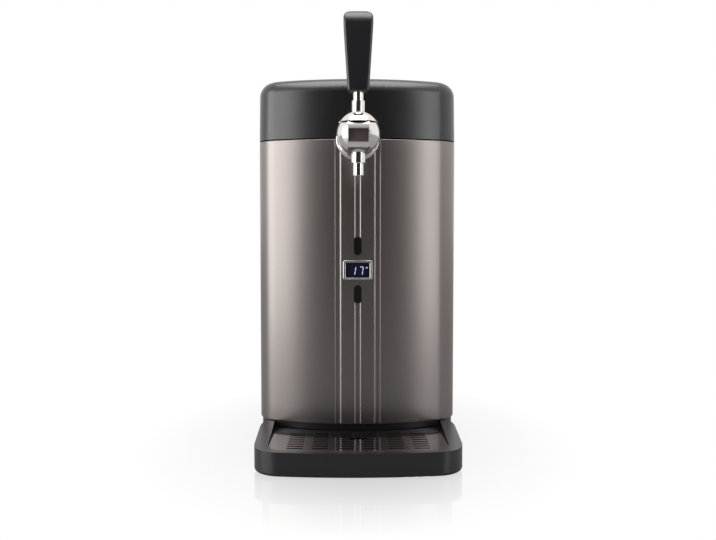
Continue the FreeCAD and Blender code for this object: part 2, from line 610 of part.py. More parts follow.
inlet = new_body("mains_inlet")
block(inlet, (f"-inletX - {INLET_WIDTH} / 2 + slipGap", f"{PANEL_IN} - 15",
              f"inletHeight - {INLET_HIGH} / 2 + slipGap"),
      (f"{INLET_WIDTH} - 2 * slipGap", "15 + panelWall", f"{INLET_HIGH} - 2 * slipGap"))
block(inlet, (f"-inletX - {INLET_WIDTH} / 2 - 2", f"{PANEL_IN} + panelWall",
              f"inletHeight - {INLET_HIGH} / 2 - 2"),
      (f"{INLET_WIDTH} + 4", "1.5", f"{INLET_HIGH} + 4"))
block(inlet, ("-inletX - 11", f"{PANEL_IN} - 12", "inletHeight - 7.5"), ("22", "30", "15"), cut=True)

contacts = new_body("inlet_contacts")
for x, z in ((-7, -1.5), (7, -1.5), (0, 3)):
    block(contacts, (f"-inletX + ({x}) - 1", f"{PANEL_IN} - 24", f"inletHeight + ({z}) - 2"),
          ("2", "22", "4"))
    block(inlet, (f"-inletX + ({x}) - 1.2", f"{PANEL_IN} - 20", f"inletHeight + ({z}) - 2.2"),
          ("2.4", "22", "4.4"), cut=True)

switch = new_body("switch_housing")
block(switch, (f"-switchX - {SWITCH_WIDTH} / 2 + slipGap", f"{PANEL_IN} - 14",
               f"inletHeight - {SWITCH_HIGH} / 2 + slipGap"),
      (f"{SWITCH_WIDTH} - 2 * slipGap", "14 + panelWall", f"{SWITCH_HIGH} - 2 * slipGap"))
block(switch, (f"-switchX - {SWITCH_WIDTH} / 2 - 1.5", f"{PANEL_IN} + panelWall",
               f"inletHeight - {SWITCH_HIGH} / 2 - 1.5"),
      (f"{SWITCH_WIDTH} + 3", "1.2", f"{SWITCH_HIGH} + 3"))
block(switch, ("-switchX - 8.5", f"{PANEL_IN} - 7", "inletHeight - 5.5"), ("17", "20", "11"), cut=True)
ROCKER_Y = f"{PANEL_IN} + 0.5"
rod(switch, ("-switchX", ROCKER_Y, "inletHeight - 7.1"), "1.5", "14.2", "Z", cut=True)

rocker = new_body("power_rocker")
points = [("-7.6", "-1"), ("7.6", "-1"), ("7.6", "2.6"), ("0", "3.6"), ("-7.6", "2.6")]
rocker_sketch = polygon(rocker, [(f"({x}) - switchX", f"({y}) + {ROCKER_Y}") for x, y in points],
                        "XY_Plane", "inletHeight - 5")
pad(rocker, rocker_sketch, "10")
rod(rocker, ("-switchX", ROCKER_Y, "inletHeight - 6.9"), "1.45", "13.8", "Z")

# Front controls: bezel, lens, display module, two push buttons and the board behind them

bezel = new_body("display_bezel")
block(bezel, ("-bezelWidth / 2", "-frontFace - bezelProud", "displayHeight - bezelHeight / 2"),
                   ("bezelWidth", "bezelProud - 0.1", "bezelHeight"))
block(bezel, ("-bezelWidth / 2 + 2 + slipGap", "-frontFace - 0.2",
              "displayHeight - bezelHeight / 2 + 2 + slipGap"),
      ("bezelWidth - 4 - 2 * slipGap", "4.2", "bezelHeight - 4 - 2 * slipGap"))
block(bezel, ("-windowWidth / 2", "-frontFace - bezelProud - 1", "displayHeight - windowHeight / 2"),
      ("windowWidth", "20", "windowHeight"), cut=True)

lens = new_body("display_lens")
block(lens, ("-windowWidth / 2 + slipGap / 2", "-frontFace - bezelProud + 0.6",
             "displayHeight - windowHeight / 2 + slipGap / 2"),
      ("windowWidth - slipGap", "1.5", "windowHeight - slipGap"))

KEY_BACK = "-frontFace + 10"
KEY_BOARD = "-frontFace + 13.5"
display = new_body("display_module")
block(display, ("-windowWidth / 2 + 1", "-frontFace + 0.8", "displayHeight - windowHeight / 2 + 1"),
      ("windowWidth - 2", "12.7", "windowHeight - 2"))

keys = new_body("key_board")
block(keys, ("-20", KEY_BOARD, f"{LOWER_Z} - buttonLength / 2 - 8"),
      ("40", "boardWall", "2 * buttonSpacing + buttonLength + 16"))
for height in (UPPER_Z, LOWER_Z):
    block(keys, ("-3", f"{KEY_BOARD} - 2", f"{height} - 3"), ("6", "2", "6"))
    rod(keys, ("0", f"{KEY_BOARD} - 2.3", height), "1.5", "0.5", "Y")
# four legs hold the board on the inside of the skin
for side in (-1, 1):
    for end in (-1, 1):
        rod(keys, (f"{side} * 16", "-frontFace + skinWall + 0.8",
                   f"displayHeight + {end} * (buttonSpacing + buttonLength / 2 + 3)"),
            "2.5", f"{KEY_BOARD} + frontFace - skinWall - 0.8", "Y")

for label, height in (("upper_button", UPPER_Z), ("lower_button", LOWER_Z)):
    button = new_body(label)
    front = stadium(button, ("0", height), "buttonWidth - 2 * keyGap", "buttonLength - 2 * keyGap",
                    "XZ_Plane", "frontFace - 4.5")
    pad(button, front, "4.5 + buttonProud")
    rod(button, ("0", "-frontFace + 4", height), "3", f"{KEY_BOARD} - buttonTravel - 2.4 + frontFace - 4",
        "Y")
    rim = stadium(button, ("0", height), "buttonWidth + 2.4", "buttonLength + 2.4", "XZ_Plane",
                  "frontFace - 4.5")
    pad(button, rim, "1.2")

# Tap: flange, shank and nut, ball-shaped body, window plate, lever, handle and spout

flange = new_body("tap_flange")
disc = rod(flange, ("0", "-frontFace - flangeDepth", TAP_Z), "flangeRadius", "flangeDepth + 5", "Y")
disc_front = value("-frontFace - flangeDepth")
dress(flange, "Fillet", disc, lambda e: lies_at(e, "Y", disc_front), "flangeEdge")
rod(flange, ("0", FRONT + " + frontRadius", "0"), "frontRadius + slipGap", LID_TOP, cut=True)
rod(flange, ("0", "-frontFace - 20", TAP_Z), "neckRadius + runGap", "40", "Y", cut=True)

tap = new_body("tap_body")
ball(tap, ("0", TAP_Y, TAP_Z), "ballRadius")
# a groove below the lever's cap, which shows as a dark line
block(tap, ("-2 * ballRadius", f"{TAP_Y} - 2 * ballRadius", f"{TAP_Z} + capRise - capReveal"),
      ("4 * ballRadius", "4 * ballRadius", "2 * ballRadius"), cut=True)
ball(tap, ("0", TAP_Y, TAP_Z), "ballRadius - capStep")
rod(tap, ("-bandWidth / 2", TAP_Y, TAP_Z), "ballRadius + 5", "bandWidth", "X", cut=True)
rod(tap, ("-bandWidth / 2", TAP_Y, TAP_Z), "bandRadius", "bandWidth", "X")
rod(tap, ("0", f"{TAP_Y} + 12", TAP_Z), "neckRadius", "tapReach - 12 + skinWall", "Y")
rod(tap, ("0", f"{TAP_Y} + 12", TAP_Z), "spoutBore + 1.4", "tapReach", "Y", cut=True)
rod(tap, ("0", f"{TAP_Y} + 30", TAP_Z), "shankRadius + runGap", "tapReach", "Y", cut=True)
rod(tap, ("0", TAP_Y, f"{TAP_Z} - 40"), "spoutBore", "40", cut=True)
rod(tap, ("0", TAP_Y, f"{SPOUT_TOP} - 20"), "spoutRadius + runGap", "20", cut=True)
SLOT_FRONT, SLOT_BACK, CAVITY = "22", "8", "12.5"
SLOT_HALF = "(armWidth / 2 + slipGap)"
block(tap, (f"-{SLOT_HALF}", f"{TAP_Y} - {SLOT_FRONT}", f"{TAP_Z} + 6.5"),
      (f"2 * {SLOT_HALF}", f"{SLOT_FRONT} + {SLOT_BACK}", "40"), cut=True)
block(tap, (f"-{SLOT_HALF}", f"{TAP_Y} - {CAVITY}", f"{TAP_Z} - {CAVITY}"),
      (f"2 * {SLOT_HALF}", f"2 * {CAVITY}", f"{CAVITY} + 7"), cut=True)
rod(tap, ("-ballRadius - 1", TAP_Y, TAP_Z), "leverPin + runGap", "2 * ballRadius + 2", "X", cut=True)
RECESS_Y = f"{TAP_Y} - bandRadius + recessDepth"
block(tap, ("-windowPlateWidth / 2", f"{RECESS_Y} - 20", f"{TAP_Z} - windowDrop - windowPlateHeight / 2"),
      ("windowPlateWidth", "20", "windowPlateHeight"), cut=True)
SCREW_X, SCREW_DROP = "13.5", "20"
rod(tap, (SCREW_X, f"{TAP_Y} - 40", f"{TAP_Z} - {SCREW_DROP}"), "2.3", "32", "Y", cut=True)

tap_screw = new_body("tap_screw")
rod(tap_screw, (SCREW_X, f"{TAP_Y} - 16.5", f"{TAP_Z} - {SCREW_DROP}"), "2.2", "8.3", "Y")
rod(tap_screw, (SCREW_X, f"{TAP_Y} - 17.5", f"{TAP_Z} - {SCREW_DROP}"), "1.2", "2.2", "Y", cut=True)

window = new_body("window_plate")
block(window, ("-windowPlateWidth / 2 + 0.2", f"{RECESS_Y} - 1",
               f"{TAP_Z} - windowDrop - windowPlateHeight / 2 + 0.2"),
      ("windowPlateWidth - 0.4", "1", "windowPlateHeight - 0.4"))

pivot = new_body("lever_pin")
rod(pivot, ("-ballRadius + 1", TAP_Y, TAP_Z), "leverPin", "2 * ballRadius - 2", "X")

CAP_IN = "(ballRadius + capGap)"
lever = new_body("tap_lever")
ball(lever, ("0", TAP_Y, TAP_Z), f"{CAP_IN} + capWall")
ball(lever, ("0", TAP_Y, TAP_Z), CAP_IN, cut=True)
block(lever, ("-2 * ballRadius", f"{TAP_Y} - 2 * ballRadius", f"{TAP_Z} - 2 * ballRadius"),
      ("4 * ballRadius", "4 * ballRadius", "2 * ballRadius + capRise"), cut=True)
block(lever, ("-armWidth / 2", f"{TAP_Y} - armDepth / 2", TAP_Z), ("armWidth", "armDepth", f"{CAP_IN} + 0.5"))
rod(lever, ("-armWidth / 2", TAP_Y, TAP_Z), "hubRadius", "armWidth", "X")
rod(lever, ("-armWidth / 2", f"{TAP_Y} + 3", f"{TAP_Z} - 6.5"), "4", "armWidth", "X")
rod(lever, ("0", TAP_Y, f"{TAP_Z} + {CAP_IN} - 0.8"), "stemRadius", f"{STEM_TOP} - {TAP_Z} - {CAP_IN} + 0.8")
rod(lever, ("-armWidth", TAP_Y, TAP_Z), "leverPin + runGap", "2 * armWidth", "X", cut=True)
rod(lever, ("0", TAP_Y, f"{STEM_TOP} - 10"), "studRadius + runGap", "20", cut=True)

stem = new_body("handle_stem")
rod(stem, ("0", TAP_Y, STEM_TOP), "collarRadius", f"{GRIP_LOW} - {STEM_TOP}")
rod(stem, ("0", TAP_Y, f"{STEM_TOP} - 9.5"), "studRadius", f"{GRIP_LOW} - {STEM_TOP} + 9.5 + 24")

spout = new_body("spout")
rod(spout, ("0", TAP_Y, SPOUT_STEP), "spoutRadius", f"{SPOUT_TOP} - {SPOUT_STEP}")
rod(spout, ("0", TAP_Y, SPOUT_LOW), "spoutTip", f"{SPOUT_STEP} - {SPOUT_LOW}")
rod(spout, ("0", TAP_Y, f"{SPOUT_LOW} - 1"), "spoutBore", "60", cut=True)

shank = new_body("tap_shank")
rod(shank, ("0", f"{TAP_Y} + 30.5", TAP_Z), "shankRadius", "tapReach - 30.5 + 14.5", "Y")
rod(shank, ("0", f"{TAP_Y} + 20", TAP_Z), "spoutBore + 1.4", "tapReach + 20", "Y", cut=True)

nut = new_body("shank_nut")
hexagon = nut.newObject("PartDesign::AdditivePrism", "Hexagon")
bind(hexagon, "Circumradius", "nutRadius")
bind(hexagon, "Height", "nutDepth")
place(hexagon, ("0", "-frontFace + 5.9", TAP_Z), ALONG["Y"])
rod(nut, ("0", FRONT, TAP_Z), "shankRadius + runGap", "30", "Y", cut=True)

# Handle grip: a tapered paddle, narrow at its foot, with round shoulders and softened edges

grip = new_body("handle_grip")
paddle = polygon(grip, [
    ("-gripFoot / 2", GRIP_LOW), ("gripFoot / 2", GRIP_LOW), ("gripWidth / 2", GRIP_WIDEST),
    ("gripWidth / 2 - 0.4", GRIP_TOP), ("-gripWidth / 2 + 0.4", GRIP_TOP), ("-gripWidth / 2", GRIP_WIDEST)],
    "XZ_Plane", "frontFace + tapReach - gripDepth / 2")
blank = pad(grip, paddle, "gripDepth")
grip_top = value(GRIP_TOP)
shoulders = dress(grip, "Fillet", blank,
                  lambda e: lies_at(e, "Z", grip_top) and e.BoundBox.XLength < 0.01, "gripShoulder")
faces = [value(TAP_Y) - value("gripDepth") / 2, value(TAP_Y) + value("gripDepth") / 2]
dress(grip, "Fillet", shoulders, lambda e: any(lies_at(e, "Y", y) for y in faces), "gripEdge")
# the front face rolls back over the top
crown = new_sketch(grip, "YZ_Plane", "-gripWidth")
grip_front, crown_round = faces[0], value("gripRound")
turn, under, ahead, above, behind = chain(crown, [
    arc((grip_front + crown_round, grip_top - crown_round), crown_round, math.pi / 2, math.pi),
    line((grip_front, grip_top - crown_round), (grip_front - 5, grip_top - crown_round)),
    line((grip_front - 5, grip_top - crown_round), (grip_front - 5, grip_top + 5)),
    line((grip_front - 5, grip_top + 5), (grip_front + crown_round, grip_top + 5)),
    line((grip_front + crown_round, grip_top + 5), (grip_front + crown_round, grip_top))])
for kind, which in (("Horizontal", under), ("Vertical", ahead), ("Horizontal", above), ("Vertical", behind)):
    fix(crown, kind, which)
fix(crown, "Vertical", turn, 1, turn, 3)
fix(crown, "Horizontal", turn, 2, turn, 3)
fix(crown, "Radius", turn, size="gripRound")
fix(crown, "DistanceX", -1, 1, turn, 3, size=f"{TAP_Y} - gripDepth / 2 + gripRound")
fix(crown, "DistanceY", -1, 1, turn, 3, size=f"{GRIP_TOP} - gripRound")
fix(crown, "DistanceX", -1, 1, ahead, 1, size=f"{TAP_Y} - gripDepth / 2 - 5")
fix(crown, "DistanceY", -1, 1, above, 1, size=f"{GRIP_TOP} + 5")
pocket(grip, crown, "2 * gripWidth")
rod(grip, ("0", TAP_Y, f"{GRIP_LOW} - 1"), "studRadius + runGap", "26", cut=True)

# Lid: outer cover, liner pan, foam between them, seal, screws and hinge pins

cover = new_body("lid_cover")
cover_blank = pad(cover, housing_plan(cover, LID_LOW), f"{LID_TOP} - ({LID_LOW})", taper=-0.9)
lid_top = value(LID_TOP)
dress(cover, "Fillet", cover_blank, lambda e: lies_at(e, "Z", lid_top), "lidEdge")
# the hollow steps in below the rounded edge, so that its wall stays thick there
for inset, roof in (("lidWall + 1", "lidWall + 0.6 * lidEdge"), ("lidWall + 1 + 0.6 * lidEdge", "lidWall")):
    pocket(cover, housing_plan(cover, "seamHeight", inset), f"{LID_TOP} - seamHeight - ({roof})")
rod(cover, ("0", "-frontFace - 20", TAP_Z), "neckRadius + slipGap", "40", "Y", cut=True)
BOSS_X, BOSS_ENDS = "bodyWidth / 2 - 19", ("-20", "165")
LINER_LOW = f"{LID_LOW} + linerRise"
LINER_TOP = f"{LINER_LOW} + linerWall"
for side in (-1, 1):
    for y in BOSS_ENDS:
        rod(cover, (f"{side} * ({BOSS_X})", y, f"{LINER_TOP} + 0.1"), "bossRadius",
            f"{LID_TOP} - lidWall - ({LINER_TOP})")
        rod(cover, (f"{side} * ({BOSS_X})", y, LINER_TOP), "screwRadius + runGap", "lidScrewLength", cut=True)
for side in (-1, 1):
    ear = f"{side} * hingeOffset - knuckleWidth / 2 - 2"
    block(cover, (ear, f"{PIN_Y} - knuckleRadius - 1", "seamHeight - 1"),
          ("knuckleWidth + 4", "40", "knuckleRadius + 2"), cut=True)
    lug = f"{side} * (hingeOffset + knuckleWidth + 0.6) - knuckleWidth / 2"
    rod(cover, (lug, PIN_Y, "seamHeight"), "knuckleRadius", "knuckleWidth", "X")
    block(cover, (lug, f"{PIN_Y} - 2", "seamHeight + 1"), ("knuckleWidth", "hingeInset - 0.5", "10"))
    rod(cover, (f"{lug} - 5", PIN_Y, "seamHeight"), "pinRadius + runGap", "knuckleWidth + 10", "X", cut=True)

pins = new_body("hinge_pins")
for side in (-1, 1):
    low = f"{side} * (hingeOffset + knuckleWidth / 2 + 0.3) - knuckleWidth - 1.3"
    rod(pins, (low, PIN_Y, "seamHeight"), "pinRadius", "2 * knuckleWidth + 2.6", "X")

liner = new_body("lid_liner")
pad(liner, housing_plan(liner, LINER_LOW, "lidWall + 1 + slipGap"), "linerWall")
rod(liner, ("0", "chamberY", LINER_LOW), "linerCupRadius + linerWall", "linerCupHeight")
rod(liner, ("0", "chamberY", f"{LINER_LOW} - 1"), "linerCupRadius", "linerCupHeight - linerWall + 1",
    cut=True)
block(liner, ("-nutRadius - 3", "-frontFace - 5", "seamHeight - 5"), ("2 * nutRadius + 6", "22", "40"),
      cut=True)
block(liner, ("-bodyWidth", "rearFace - 18.5", "seamHeight - 5"), ("2 * bodyWidth", "40", "40"), cut=True)
for side in (-1, 1):
    for y in BOSS_ENDS:
        rod(liner, (f"{side} * ({BOSS_X})", y, "seamHeight"), "screwRadius + runGap", "20", cut=True)
        rod(liner, (f"{side} * ({BOSS_X})", y, f"{LINER_LOW} - 1"), "screwRadius * 1.9 + 0.3", "2.4",
            cut=True)

lid_screws = new_body("lid_screws")
for side in (-1, 1):
    for y in BOSS_ENDS:
        rod(lid_screws, (f"{side} * ({BOSS_X})", y, LINER_LOW), "screwRadius * 1.9", "lidScrewHead")
        rod(lid_screws, (f"{side} * ({BOSS_X})", y, LINER_LOW), "screwRadius", "lidScrewLength")

lid_foam = new_body("lid_insulation")
pad(lid_foam, housing_plan(lid_foam, f"{LINER_TOP} + 0.1", "lidFoamInset"),
    f"{LID_TOP} - lidWall - 0.5 - ({LINER_TOP})")
rod(lid_foam, ("0", "chamberY", "seamHeight"), "linerCupRadius + linerWall + slipGap",
    "linerCupHeight + linerRise + lidGap + slipGap", cut=True)

seal = new_body("lid_seal")
SEAL_LOW = "seamHeight - slipGap + 0.1"
rod(seal, ("0", "chamberY", SEAL_LOW), "sealRadius + sealWidth / 2", f"{LINER_LOW} - ({SEAL_LOW})")
rod(seal, ("0", "chamberY", "seamHeight - 5"), "sealRadius - sealWidth / 2", "20", cut=True)
block(seal, ("-shankRadius - 2", "-frontFace", "seamHeight - 5"), ("2 * shankRadius + 4", "40", "20"),
      cut=True)

# Drip tray: a bowed pan whose side rims climb back to the skin, and its lift-out grille


def tray_plan(body, level, inset):
    """The tray's outline: bowed front, round corners, straight sides that close in to the horns."""
    sketch = new_sketch(body, "XY_Plane", level)
    rounded_plan(sketch, f"{TRAY_HALF} - ({inset})", f"({inset}) - trayFront",
                 f"-frontFace + 60 - ({inset})",
                 f"trayFrontRadius - ({inset})", f"trayCorner - ({inset})", "60")
    return sketch


def clear_of_housing(body, inset):
    """Cut away what would lie inside the housing's outline."""
    pocket(body, housing_plan(body, "0", inset), "seamHeight")


tray = new_body("drip_tray")
tray_blank = pad(tray, tray_plan(tray, "trayLift", "0"), "trayHorn - trayLift - slipGap")
tray_low = value("trayLift")
dress(tray, "Fillet", tray_blank, lambda e: lies_at(e, "Z", tray_low), "trayEdge")
rim = polygon(tray, [("-trayFront - 5", "trayLip"), ("-trayFront + 22", "trayLip"),
                     ("-frontFace + 30", "trayHorn"),
                     ("-frontFace + 30", "trayHorn + 20"), ("-trayFront - 5", "trayHorn + 20")],
              "YZ_Plane", "-bodyWidth / 2")
pocket(tray, rim, "bodyWidth")
block(tray, ("-bodyWidth", "-frontFace + 31", "0"), ("2 * bodyWidth", "200", "100"), cut=True)
clear_of_housing(tray, f"{INNER} - slipGap - 0.1")
GRILLE_LOW = "trayLip - grilleWall"


def tray_well(body, half_width, front, rear, corner, low, high):
    sketch = new_sketch(body, "XY_Plane", low)
    rounded_plan(sketch, half_width, f"-({front})", rear, "trayFrontRadius", corner, "5")
    pocket(body, sketch, f"({high}) - ({low})")


tray_well(tray, f"{GRILLE_HALF} + slipGap", "grilleFront + slipGap", "0", "22", GRILLE_LOW, "trayHorn + 10")
tray_well(tray, f"{GRILLE_HALF} - grilleLedge", "grilleFront - grilleLedge", "-frontFace - trayWall - 6",
          "18",
          "trayLift + trayFloor", "trayHorn")
for side in (-1, 1):
    block(tray, (f"{side} * tongueX - tongueWidth / 2", "-frontFace - 4", "tongueLow"),
          ("tongueWidth", "22", "tongueWall"))

grille = new_body("drip_grille")
grille_sketch = new_sketch(grille, "XY_Plane", GRILLE_LOW)
rounded_plan(grille_sketch, GRILLE_HALF, "-grilleFront", "0", "trayFrontRadius", "21.6", "5")
pad(grille, grille_sketch, "grilleWall")
clear_of_housing(grille, "-grilleGap")
slot = block(grille, ("-(slotColumns - 1) / 2 * slotPitch - slotLength / 2", "-grilleFront + 12",
                      f"{GRILLE_LOW} - 1"),
             ("slotLength", "slotWidth", "grilleWall + 2"), cut=True)
doc.recompute()
across = doc.addObject("PartDesign::LinearPattern", "Across")
along = doc.addObject("PartDesign::LinearPattern", "Along")
slots = grille.newObject("PartDesign::MultiTransform", "Slots")
slots.Originals = [slot]
for pattern, axis, pitch, count in ((across, "X_Axis", "slotPitch", "slotColumns"),
                                    (along, "Y_Axis", "rowPitch", "slotRows")):
    grille.addObject(pattern)
    pattern.Direction = (origin_plane(grille, axis), [""])
    bind(pattern, "Length", f"({count} - 1) * {pitch}")
    bind(pattern, "Occurrences", count)
slots.Transformations = [across, along]
grille.Tip = slots
finger = new_sketch(grille, "XY_Plane", f"{GRILLE_LOW} - 1")
reach = value("fingerWidth") / 2 - value("fingerDepth") / 2
finger_y, finger_r = value("-frontFace - fingerReach"), value("fingerDepth") / 2
ids = chain(finger, [
    arc((reach, finger_y), finger_r, -math.pi / 2, math.pi / 2),
    line((reach, finger_y + finger_r), (-reach, finger_y + finger_r)),
    arc((-reach, finger_y), finger_r, math.pi / 2, 3 * math.pi / 2),
    line((-reach, finger_y - finger_r), (reach, finger_y - finger_r))],
    "Tangent")
fix(finger, "Horizontal", ids[1])
fix(finger, "Radius", ids[0], size="fingerDepth / 2")
fix(finger, "DistanceX", -1, 1, ids[0], 3, size="(fingerWidth - fingerDepth) / 2")
fix(finger, "DistanceX", ids[2], 3, -1, 1, size="(fingerWidth - fingerDepth) / 2")
fix(finger, "DistanceY", -1, 1, ids[0], 3, size="-frontFace - fingerReach")
pocket(grille, finger, "grilleWall + 2")

# Check every object, then write each piece

doc.recompute()
broken = [f"{item.Label} {item.Name} {item.State}" for item in doc.Objects
          if "Invalid" in item.State or "Error" in item.State]
for piece in pieces:
    if piece.Shape.isNull() or not piece.Shape.isValid() or not piece.Shape.Solids:
        broken.append(f"{piece.Label}: no valid solid")
if broken:
    raise RuntimeError("; ".join(broken))
for piece in pieces:
    piece.Shape.exportStep(f"parts/{piece.Label}.step")
    print(piece.Label, len(piece.Shape.Solids), round(piece.Shape.Volume))
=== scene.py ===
import json
import math

import bmesh
import bpy
import numpy as np
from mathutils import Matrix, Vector


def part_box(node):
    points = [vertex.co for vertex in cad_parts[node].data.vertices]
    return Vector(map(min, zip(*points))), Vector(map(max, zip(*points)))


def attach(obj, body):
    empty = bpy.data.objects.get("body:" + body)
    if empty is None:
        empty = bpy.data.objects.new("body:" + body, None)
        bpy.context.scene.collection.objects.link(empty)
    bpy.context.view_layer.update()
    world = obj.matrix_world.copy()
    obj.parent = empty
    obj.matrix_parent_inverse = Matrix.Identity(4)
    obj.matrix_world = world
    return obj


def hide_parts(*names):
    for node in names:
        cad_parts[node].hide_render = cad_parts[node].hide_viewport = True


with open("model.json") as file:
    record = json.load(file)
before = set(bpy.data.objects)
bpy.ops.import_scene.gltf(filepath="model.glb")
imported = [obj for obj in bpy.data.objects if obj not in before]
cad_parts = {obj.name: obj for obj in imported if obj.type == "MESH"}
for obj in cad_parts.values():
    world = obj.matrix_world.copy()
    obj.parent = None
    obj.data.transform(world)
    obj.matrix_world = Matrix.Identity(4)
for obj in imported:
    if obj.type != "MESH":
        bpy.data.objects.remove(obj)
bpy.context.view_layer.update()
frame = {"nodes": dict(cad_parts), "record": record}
mm = 0.001
bodyOf = {node: body for body, names in frame["record"]["behaviour"]["bodies"].items() for node in names}


# Colour and node helpers

def linearColour(hexText):
    # sRGB hex to linear: c/12.92 near black, ((c+0.055)/1.055)^2.4 above it
    parts = [int(hexText[i:i + 2], 16) / 255 for i in (1, 3, 5)]
    return tuple(c / 12.92 if c <= 0.04045 else ((c + 0.055) / 1.055) ** 2.4 for c in parts) + (1.0,)


def addNode(tree, kind, settings=None, links=None):
    # settings are input values or node properties, links are input: output socket
    node = tree.nodes.new(kind)
    for name, value in (settings or {}).items():
        if isinstance(name, str) and hasattr(node, name) and name not in node.inputs:
            setattr(node, name, value)
        else:
            node.inputs[name].default_value = value
    for name, socket in (links or {}).items():
        tree.links.new(socket, node.inputs[name])
    return node


def ramp(fromMin, fromMax, toMin, toMax):
    # the settings of a Map Range node
    return {"From Min": fromMin, "From Max": fromMax, "To Min": toMin, "To Max": toMax}


def newMaterial(name, **surface):
    # a Principled surface with the constant values on its own sockets
    material = bpy.data.materials.new(name)
    material.use_nodes = True
    tree = material.node_tree
    shader = tree.nodes["Principled BSDF"]
    for socket, value in surface.items():
        shader.inputs[socket.replace("_", " ")].default_value = value
    return material, tree, shader


def grain(tree, shader, sizeMm, colours, rough=None, bump=0.0, depthMm=0.05, detail=2.0,
          stretch=(1, 1, 1)):
    # noise at a real size: it mixes two colours, moves the roughness and lifts the surface a little
    place = addNode(tree, "ShaderNodeTexCoord")
    scale = 1 / (sizeMm * mm)
    mapping = addNode(tree, "ShaderNodeMapping", {"Scale": [scale * s for s in stretch]},
                      {"Vector": place.outputs["Object"]})
    noise = addNode(tree, "ShaderNodeTexNoise", {"Scale": 1.0, "Detail": detail},
                    {"Vector": mapping.outputs[0]})
    mix = addNode(tree, "ShaderNodeMix", {"data_type": "RGBA"}, {0: noise.outputs["Fac"]})
    mix.inputs[6].default_value = linearColour(colours[0])
    mix.inputs[7].default_value = linearColour(colours[1])
    tree.links.new(mix.outputs[2], shader.inputs["Base Color"])
    if rough:
        span = addNode(tree, "ShaderNodeMapRange", {"To Min": rough[0], "To Max": rough[1]},
                       {"Value": noise.outputs["Fac"]})
        tree.links.new(span.outputs[0], shader.inputs["Roughness"])
    if bump:
        lift = addNode(tree, "ShaderNodeBump", {"Strength": bump, "Distance": depthMm * mm},
                       {"Height": noise.outputs["Fac"]})
        tree.links.new(lift.outputs[0], shader.inputs["Normal"])


def cells(tree, shader, sizeMm, colours, output):
    # round cells at a real size that mix two colours by their distance or by a random share each
    place = addNode(tree, "ShaderNodeTexCoord")
    voronoi = addNode(tree, "ShaderNodeTexVoronoi", {"Scale": 1 / (sizeMm * mm)}, {"Vector": place.outputs["Object"]})
    mix = addNode(tree, "ShaderNodeMix", {"data_type": "RGBA"}, {0: voronoi.outputs[output]})
    mix.inputs[6].default_value = linearColour(colours[0])
    mix.inputs[7].default_value = linearColour(colours[1])
    tree.links.new(mix.outputs[2], shader.inputs["Base Color"])
    return voronoi


# Materials, each named for the real finish

print("materials")
finishes = {}

# metallic lacquer: a warm grey with a fine flake, which spreads each softbox into a wide soft band
finishes["titanium_skin"], tree, shader = newMaterial("titaniumLacquer", Metallic=1.0, Roughness=0.31,
                                                      Coat_Weight=0.15, Coat_Roughness=0.2)
grain(tree, shader, 0.9, ("#86807d", "#928b88"), rough=(0.3, 0.36), bump=0.05, depthMm=0.02)

# satin moulded ABS: a nearly black warm plastic with a spark-eroded grain that softens highlights
finishes["black_abs"], tree, shader = newMaterial("satinAbs", Roughness=0.3, IOR=1.7)
grain(tree, shader, 0.8, ("#070506", "#0b080a"), rough=(0.26, 0.34), bump=0.08, depthMm=0.03)

# soft-touch coating: matt black, so only the edges and the crown show light
finishes["soft_grip"], tree, shader = newMaterial("softTouchCoating", Roughness=0.36, IOR=1.7)
grain(tree, shader, 0.6, ("#080509", "#0c080d"), rough=(0.3, 0.38), bump=0.06, depthMm=0.02)

# bright chrome plate: a mirror with faint smears
finishes["tap_chrome"], tree, shader = newMaterial("chromePlate", Metallic=1.0, Roughness=0.09)
grain(tree, shader, 14, ("#f0edea", "#e6e3e0"), rough=(0.06, 0.12))

# polished ABS grille: dark and glossy, so it mirrors the flutes above it
finishes["grille_plastic"], tree, shader = newMaterial("polishedAbs", Roughness=0.1, IOR=1.7)
grain(tree, shader, 6, ("#141012", "#1a1517"), rough=(0.07, 0.14))

# moulded rubber: black, dry and fully matt
finishes["foot_rubber"], tree, shader = newMaterial("footRubber", Roughness=0.8, IOR=1.52)
grain(tree, shader, 0.7, ("#101010", "#181818"), rough=(0.72, 0.86), bump=0.2)

# silicone: grey, soft and slightly greasy
finishes["seal_rubber"], tree, shader = newMaterial("silicone", Roughness=0.55, IOR=1.43)
grain(tree, shader, 2, ("#54565a", "#5f6165"), rough=(0.48, 0.6))

# zinc plated steel: a cool metal with cloudy patches
finishes["zinc_steel"], tree, shader = newMaterial("zincPlate", Metallic=1.0, Roughness=0.35)
grain(tree, shader, 3, ("#b9b8b4", "#cdccc8"), rough=(0.28, 0.42))

# deep-drawn aluminium: fine upright draw lines
finishes["chamber_aluminium"], tree, shader = newMaterial("drawnAluminium", Metallic=1.0, Roughness=0.38)
grain(tree, shader, 1.2, ("#bfc0c2", "#d3d4d6"), rough=(0.3, 0.44), bump=0.1, stretch=(1, 1, 0.04))

# expanded polystyrene: white pressed beads
finishes["foam"], tree, shader = newMaterial("polystyreneBeads", Roughness=0.75, IOR=1.5)
beads = cells(tree, shader, 4, ("#f0efeb", "#d9d8d3"), "Distance")
beadLift = addNode(tree, "ShaderNodeBump", {"Strength": 0.3, "Distance": 0.4 * mm, "invert": True},
                   {"Height": beads.outputs["Distance"]})
tree.links.new(beadLift.outputs[0], shader.inputs["Normal"])

# extruded aluminium: dull, with die lines along the fins
finishes["cast_aluminium"], tree, shader = newMaterial("extrudedAluminium", Metallic=1.0, Roughness=0.45)
grain(tree, shader, 1.0, ("#a9aaac", "#bdbec0"), rough=(0.38, 0.5), stretch=(1, 1, 0.05))

